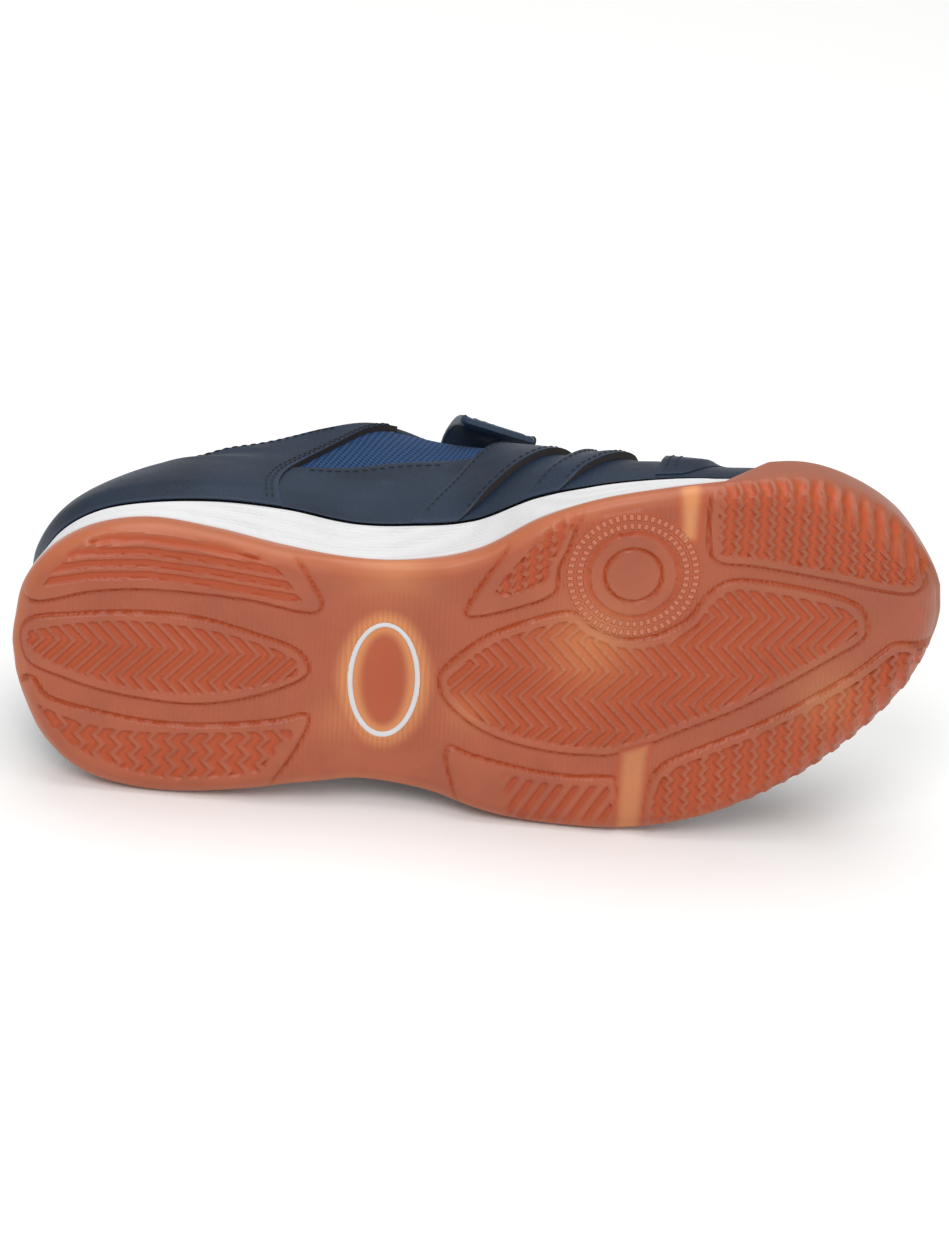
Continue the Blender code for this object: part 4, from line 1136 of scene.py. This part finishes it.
def makeInsole():
    bed = {"stations": 150, "across": 40, "cup": 2.2 * mm, "thickness": 3.0 * mm}
    stations = np.linspace(0.02, tip - 0.02, bed["stations"])
    rowsMade = []
    for section in stations:
        ends = []
        for side in ("medial", "lateral"):
            place = np.array(float(placeOn(side, section)))
            ends.append(soleEdge(place, closedCurve(rows, place)[2] + last["wall"] + 1.0 * mm))
        share = np.linspace(0, 1, bed["across"])[:, None]
        line = ends[0] + (ends[1] - ends[0]) * share
        rise = bed["cup"] * (np.abs(share[:, 0] * 2 - 1) ** 6)
        height = sideHeight(line[:, 0], 2) + last["gap"] + bed["thickness"] - 0.6 * mm + rise
        rowsMade.append(np.column_stack((line, height)))
    points = np.concatenate(rowsMade)
    bedPiece = addMesh("footbed", points, gridFaces(bed["stations"], bed["across"]), [footbedCloth])
    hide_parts("insole")


def tongueArc(section, clearance, count=25):
    under = -last["wall"] - clearance
    sides = [np.array(float(placeOn(side, section))) for side in ("medial", "lateral")]
    ends = [upperPoint(place, np.array(0.84), under) for place in sides]
    edges = [upperPoint(place, np.array(1.0), under) for place in sides]
    crown = (edges[0] + edges[1]) / 2
    control = 2 * crown - (ends[0] + ends[1]) / 2
    t = np.linspace(0, 1, count)[:, None]
    return (1 - t) ** 2 * ends[0] + 2 * t * (1 - t) * control + t * t * ends[1]


def makeTongue():
    tongue = {"clearance": 1.3 * mm, "thickness": 5.0 * mm, "rise": 11.0 * mm, "lean": (-0.45, 0.0, 0.90),
              "sections": (15.2, 9.7, 46), "edgingFrom": 27}
    arcs = [tongueArc(section, tongue["clearance"]) for section in np.linspace(*tongue["sections"])]
    final = arcs[-1]
    for share in np.linspace(0, 1, 15)[1:]:
        free = final + np.array(tongue["lean"]) * tongue["rise"] * share
        centre = free.mean(axis=0)
        shrink = 1 - 0.40 * smoothStep(share, 0.0, 0.6) - 0.25 * max(0.0, (share - 0.75) / 0.25) ** 3
        arcs.append(centre + (free - centre) * shrink)
    arcs = np.array(arcs)
    way, across = np.gradient(arcs, axis=0), np.gradient(arcs, axis=1)
    normal = np.cross(way, across)
    normal /= np.linalg.norm(normal, axis=2, keepdims=True)
    share = np.linspace(0, 1, arcs.shape[1])
    round1 = np.sin(np.pi * share) ** 0.5
    length = np.linspace(0, 1, len(arcs))[:, None]
    endRound = np.clip((1 - length) / 0.05, 0, 1) ** 0.5
    puff = tongue["thickness"] * (0.25 + 0.75 * round1)[None, :] * (0.35 + 0.65 * endRound)
    quilt = 0.5 * mm * np.exp(-((share[None, :] - 0.5) / 0.04) ** 2) + 0 * length
    outer = arcs + normal * quilt[..., None]
    inner = arcs + normal * puff[..., None]
    ring = np.concatenate((outer, inner[:, ::-1]), axis=1)
    points = ring.reshape(-1, 3)
    size = ring.shape[1]
    faces = gridFaces(len(ring), size, True)
    for first in (0, (len(ring) - 1) * size):
        faces += [[first + k, first + k + 1, first + size - 2 - k, first + size - 1 - k]
                  for k in range(size // 2 - 1)]
    pad = addMesh("paddedTongue", points, faces, [blackBinding])
    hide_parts("tongue")
    middle = (outer + inner) / 2
    first = tongue["edgingFrom"]
    rim = np.concatenate((middle[first:, 1], middle[-1, 1:-1], middle[first:, -2][::-1]))
    tube, tubeFaces = tubeAlong(rim, 1.5 * mm, 8)
    edging = addMesh("tongueBinding", tube, tubeFaces, [navyLeather], {"edge": np.zeros(len(tube))})


makeInsole()
makeTongue()

strap = {"section": 11.0, "ends": (0.66, 0.58), "width": 20.5 * mm, "thickness": 2.8 * mm,
         "level": 3.7 * mm, "crown": 4.0 * mm, "slope": 0.60,
         "roundOff": 0.9 * mm, "seamIn": 2.6 * mm, "endSeamIn": 2.8 * mm, "tapeFrom": 0.62}


def makeStrap():
    runs = []
    for side, end in zip(("medial", "lateral"), strap["ends"]):
        ts = np.linspace(end, 1.0, 22)
        runs.append(upperPoint(np.full(22, float(placeOn(side, strap["section"]))), ts, strap["level"]))
    medial, lateral = runs[0], runs[1][::-1]
    crown = (medial[-1] + lateral[0]) / 2 + np.array((0, 0, strap["crown"]))
    control = 2 * crown - (medial[-1] + lateral[0]) / 2
    t = np.linspace(0, 1, 18)[1:-1, None]
    bridge = (1 - t) ** 2 * medial[-1] + 2 * t * (1 - t) * control + t * t * lateral[0]
    path = np.concatenate((medial, bridge, lateral))
    for _ in range(12):
        path[1:-1] = (path[:-2] + 2 * path[1:-1] + path[2:]) / 4
    slope = np.array((1.0, 0.0, -strap["slope"]))
    way = np.gradient(path, axis=0)
    way /= np.linalg.norm(way, axis=1, keepdims=True)
    wide = slope - way * (way @ slope)[:, None]
    wide /= np.linalg.norm(wide, axis=1, keepdims=True)
    up = np.cross(wide, way)
    if up[len(up) // 2][2] < 0:
        up = -up
    half, thick = strap["width"] / 2, strap["thickness"]
    profile = []
    roundOff = strap["roundOff"]
    for angle in np.radians(np.linspace(-90, 90, 9)):
        profile.append((half - roundOff + roundOff * math.cos(angle),
                        thick / 2 + thick / 2 * math.sin(angle)))
    top = []
    for w in np.linspace(half - 1.0 * mm, 1.0 * mm - half, 40)[1:-1]:
        groove = math.exp(-((abs(w) - half + strap["seamIn"]) / (0.5 * mm)) ** 2)
        top.append((w, thick - 0.25 * mm * groove))
    profile = profile + top + [(-w, h) for w, h in profile[::-1]]
    profile = np.array(profile)
    count = len(path)
    edgeIn = np.minimum(np.arange(count), np.arange(count)[::-1])
    round1 = np.interp(edgeIn, (0, 1, 2), (0.45, 0.85, 1.0))
    narrow = np.interp(edgeIn, (0, 1, 2), (0.92, 0.98, 1.0))
    rings = (path[:, None] + wide[:, None] * (profile[None, :, 0] * narrow[:, None])[..., None]
             + up[:, None] * (thick / 2 + (profile[None, :, 1] - thick / 2) * round1[:, None])[..., None])
    size = len(profile)
    points = rings.reshape(-1, 3)
    faces = gridFaces(count, size, True)
    faces += [list(range(size))[::-1], [len(points) - size + k for k in range(size)]]
    onTop = (profile[:, 1] > thick * 0.6) & (np.abs(profile[:, 0]) < half - 0.8 * mm)
    onTop &= np.roll(onTop, -1)
    # Leather above, black on the front edge, and below leather then hook tape
    around = np.where(onTop, 0, np.where(profile[:, 0] > half - 1.2 * mm, 1, 0))
    index = []
    for ring in range(count - 1):
        below = 2 if ring > count * strap["tapeFrom"] else 0
        index += np.where(onTop | (profile[:, 1] > 0.1 * mm), around, below).tolist()
    index += [0, 0]
    piece = addMesh("strapSlab", points, faces, [litStrapLeather, blackBinding, hookTape],
                    {"edge": np.zeros(len(points))}, index)
    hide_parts("closing_strap")
    for sign in (-1, 1):
        line = path + wide * (sign * (half - strap["seamIn"])) + up * (thick - 0.2 * mm)
        sewAlong(line[2:-2], up[2:-2])
    for near in (3, count - 4):
        reach = half - strap["endSeamIn"]
        line = path[near] + wide[near] * np.linspace(-reach, reach, 20)[:, None] + up[near] * thick
        sewAlong(line, np.repeat(up[near][None], 20, axis=0))
    # The long sides are rolled, the front one in black
    for sign, name, stuff in ((-1, "strapRearEdge", litStrapLeather), (1, "strapFrontEdge", blackBinding)):
        line = path[1:-1] + wide[1:-1] * (sign * (half - 0.7 * mm)) + up[1:-1] * (thick / 2)
        tube, tubeFaces = tubeAlong(line, 1.0, 12, (1.0 * mm, thick * 0.54, up[1:-1]))
        edging = addMesh(name, tube, tubeFaces, [stuff], {"edge": np.zeros(len(tube))})


makeStrap()
sewn = addMesh("stitches", np.concatenate(stitchPoints), stitchFaces, [blackThread])
print("strap is sewn,", len(stitchPoints), "stitches")


def makeStudio():
    room = {"floor": tint(244, 244, 243), "size": 6.0}
    paper = Finish("palePaper", Roughness=0.75, Specular_IOR_Level=0.2)
    spot = paper.node("ShaderNodeTexCoord", {}, {}, 3)
    cloud = paper.noise(spot, 3.0, 2.0)
    paper.set(Base_Color=paper.mix(cloud * 0.15, room["floor"], tint(238, 238, 238)))
    half = room["size"] / 2
    mesh = bpy.data.meshes.new("paleFloor")
    corners = [(-half, -half, 0), (half, -half, 0), (half, half, 0), (-half, half, 0)]
    mesh.from_pydata(corners, [], [(0, 1, 2, 3)])
    mesh.materials.append(paper.material)
    floor = bpy.data.objects.new("paleFloor", mesh)
    bpy.context.scene.collection.objects.link(floor)
    # name: place, size, watts, each aimed at the shoe
    lamps = {"key": ((-0.55, -1.20, 1.60), 1.1, 15.0), "fill": ((0.95, -1.15, 0.80), 1.3, 5.0),
             "top": ((0.0, 0.25, 1.60), 1.6, 15.0)}
    for name, (place, size, power) in lamps.items():
        light = bpy.data.lights.new(name, "AREA")
        light.shape, light.size, light.energy = "DISK", size, power
        lamp = bpy.data.objects.new(name, light)
        x, y, z = place
        away = np.array((x, y, z - 0.04))
        away /= np.linalg.norm(away)
        side = np.cross((0, 0, 1.0), away)
        side /= np.linalg.norm(side)
        over = np.cross(away, side)
        lamp.matrix_world = Matrix([(side[k], over[k], away[k], place[k]) for k in range(3)] + [(0, 0, 0, 1)])
        bpy.context.scene.collection.objects.link(lamp)
    world = bpy.data.worlds.new("softRoom")
    world.use_nodes = True
    world.node_tree.nodes["Background"].inputs["Color"].default_value = (1.0, 1.0, 1.0, 1.0)
    world.node_tree.nodes["Background"].inputs["Strength"].default_value = 0.48
    bpy.context.scene.world = world
    bpy.context.scene.view_settings.view_transform = "Standard"


def makeCamera():
    view = {"target": (0.1158, -0.0047, 0.0), "away": 1.152, "tilt": 25.0, "roll": 4.21, "lens": 135.3}
    tilt, roll = math.radians(view["tilt"]), math.radians(view["roll"])
    across = np.array((1.0, 0.0, 0.0))
    over = np.array((0.0, -math.cos(tilt), math.sin(tilt)))
    right = math.cos(roll) * across - math.sin(roll) * over
    up = math.sin(roll) * across + math.cos(roll) * over
    back = np.cross(right, up)
    place = np.array(view["target"]) + back * view["away"]
    turn = np.column_stack((lieTurn @ right, lieTurn @ up, lieTurn @ back))
    place = lieTurn @ place + lieOffset
    lens = bpy.data.cameras.new("photoCamera")
    lens.lens, lens.sensor_width, lens.sensor_fit = view["lens"], 36.0, "AUTO"
    lens.clip_start, lens.clip_end = 0.05, 20.0
    camera = bpy.data.objects.new("photoCamera", lens)
    camera.matrix_world = Matrix([(*turn[k], place[k]) for k in range(3)] + [(0, 0, 0, 1)])
    bpy.context.scene.collection.objects.link(camera)
    bpy.context.scene.camera = camera


makeStudio()
makeCamera()
print("studio is lit")
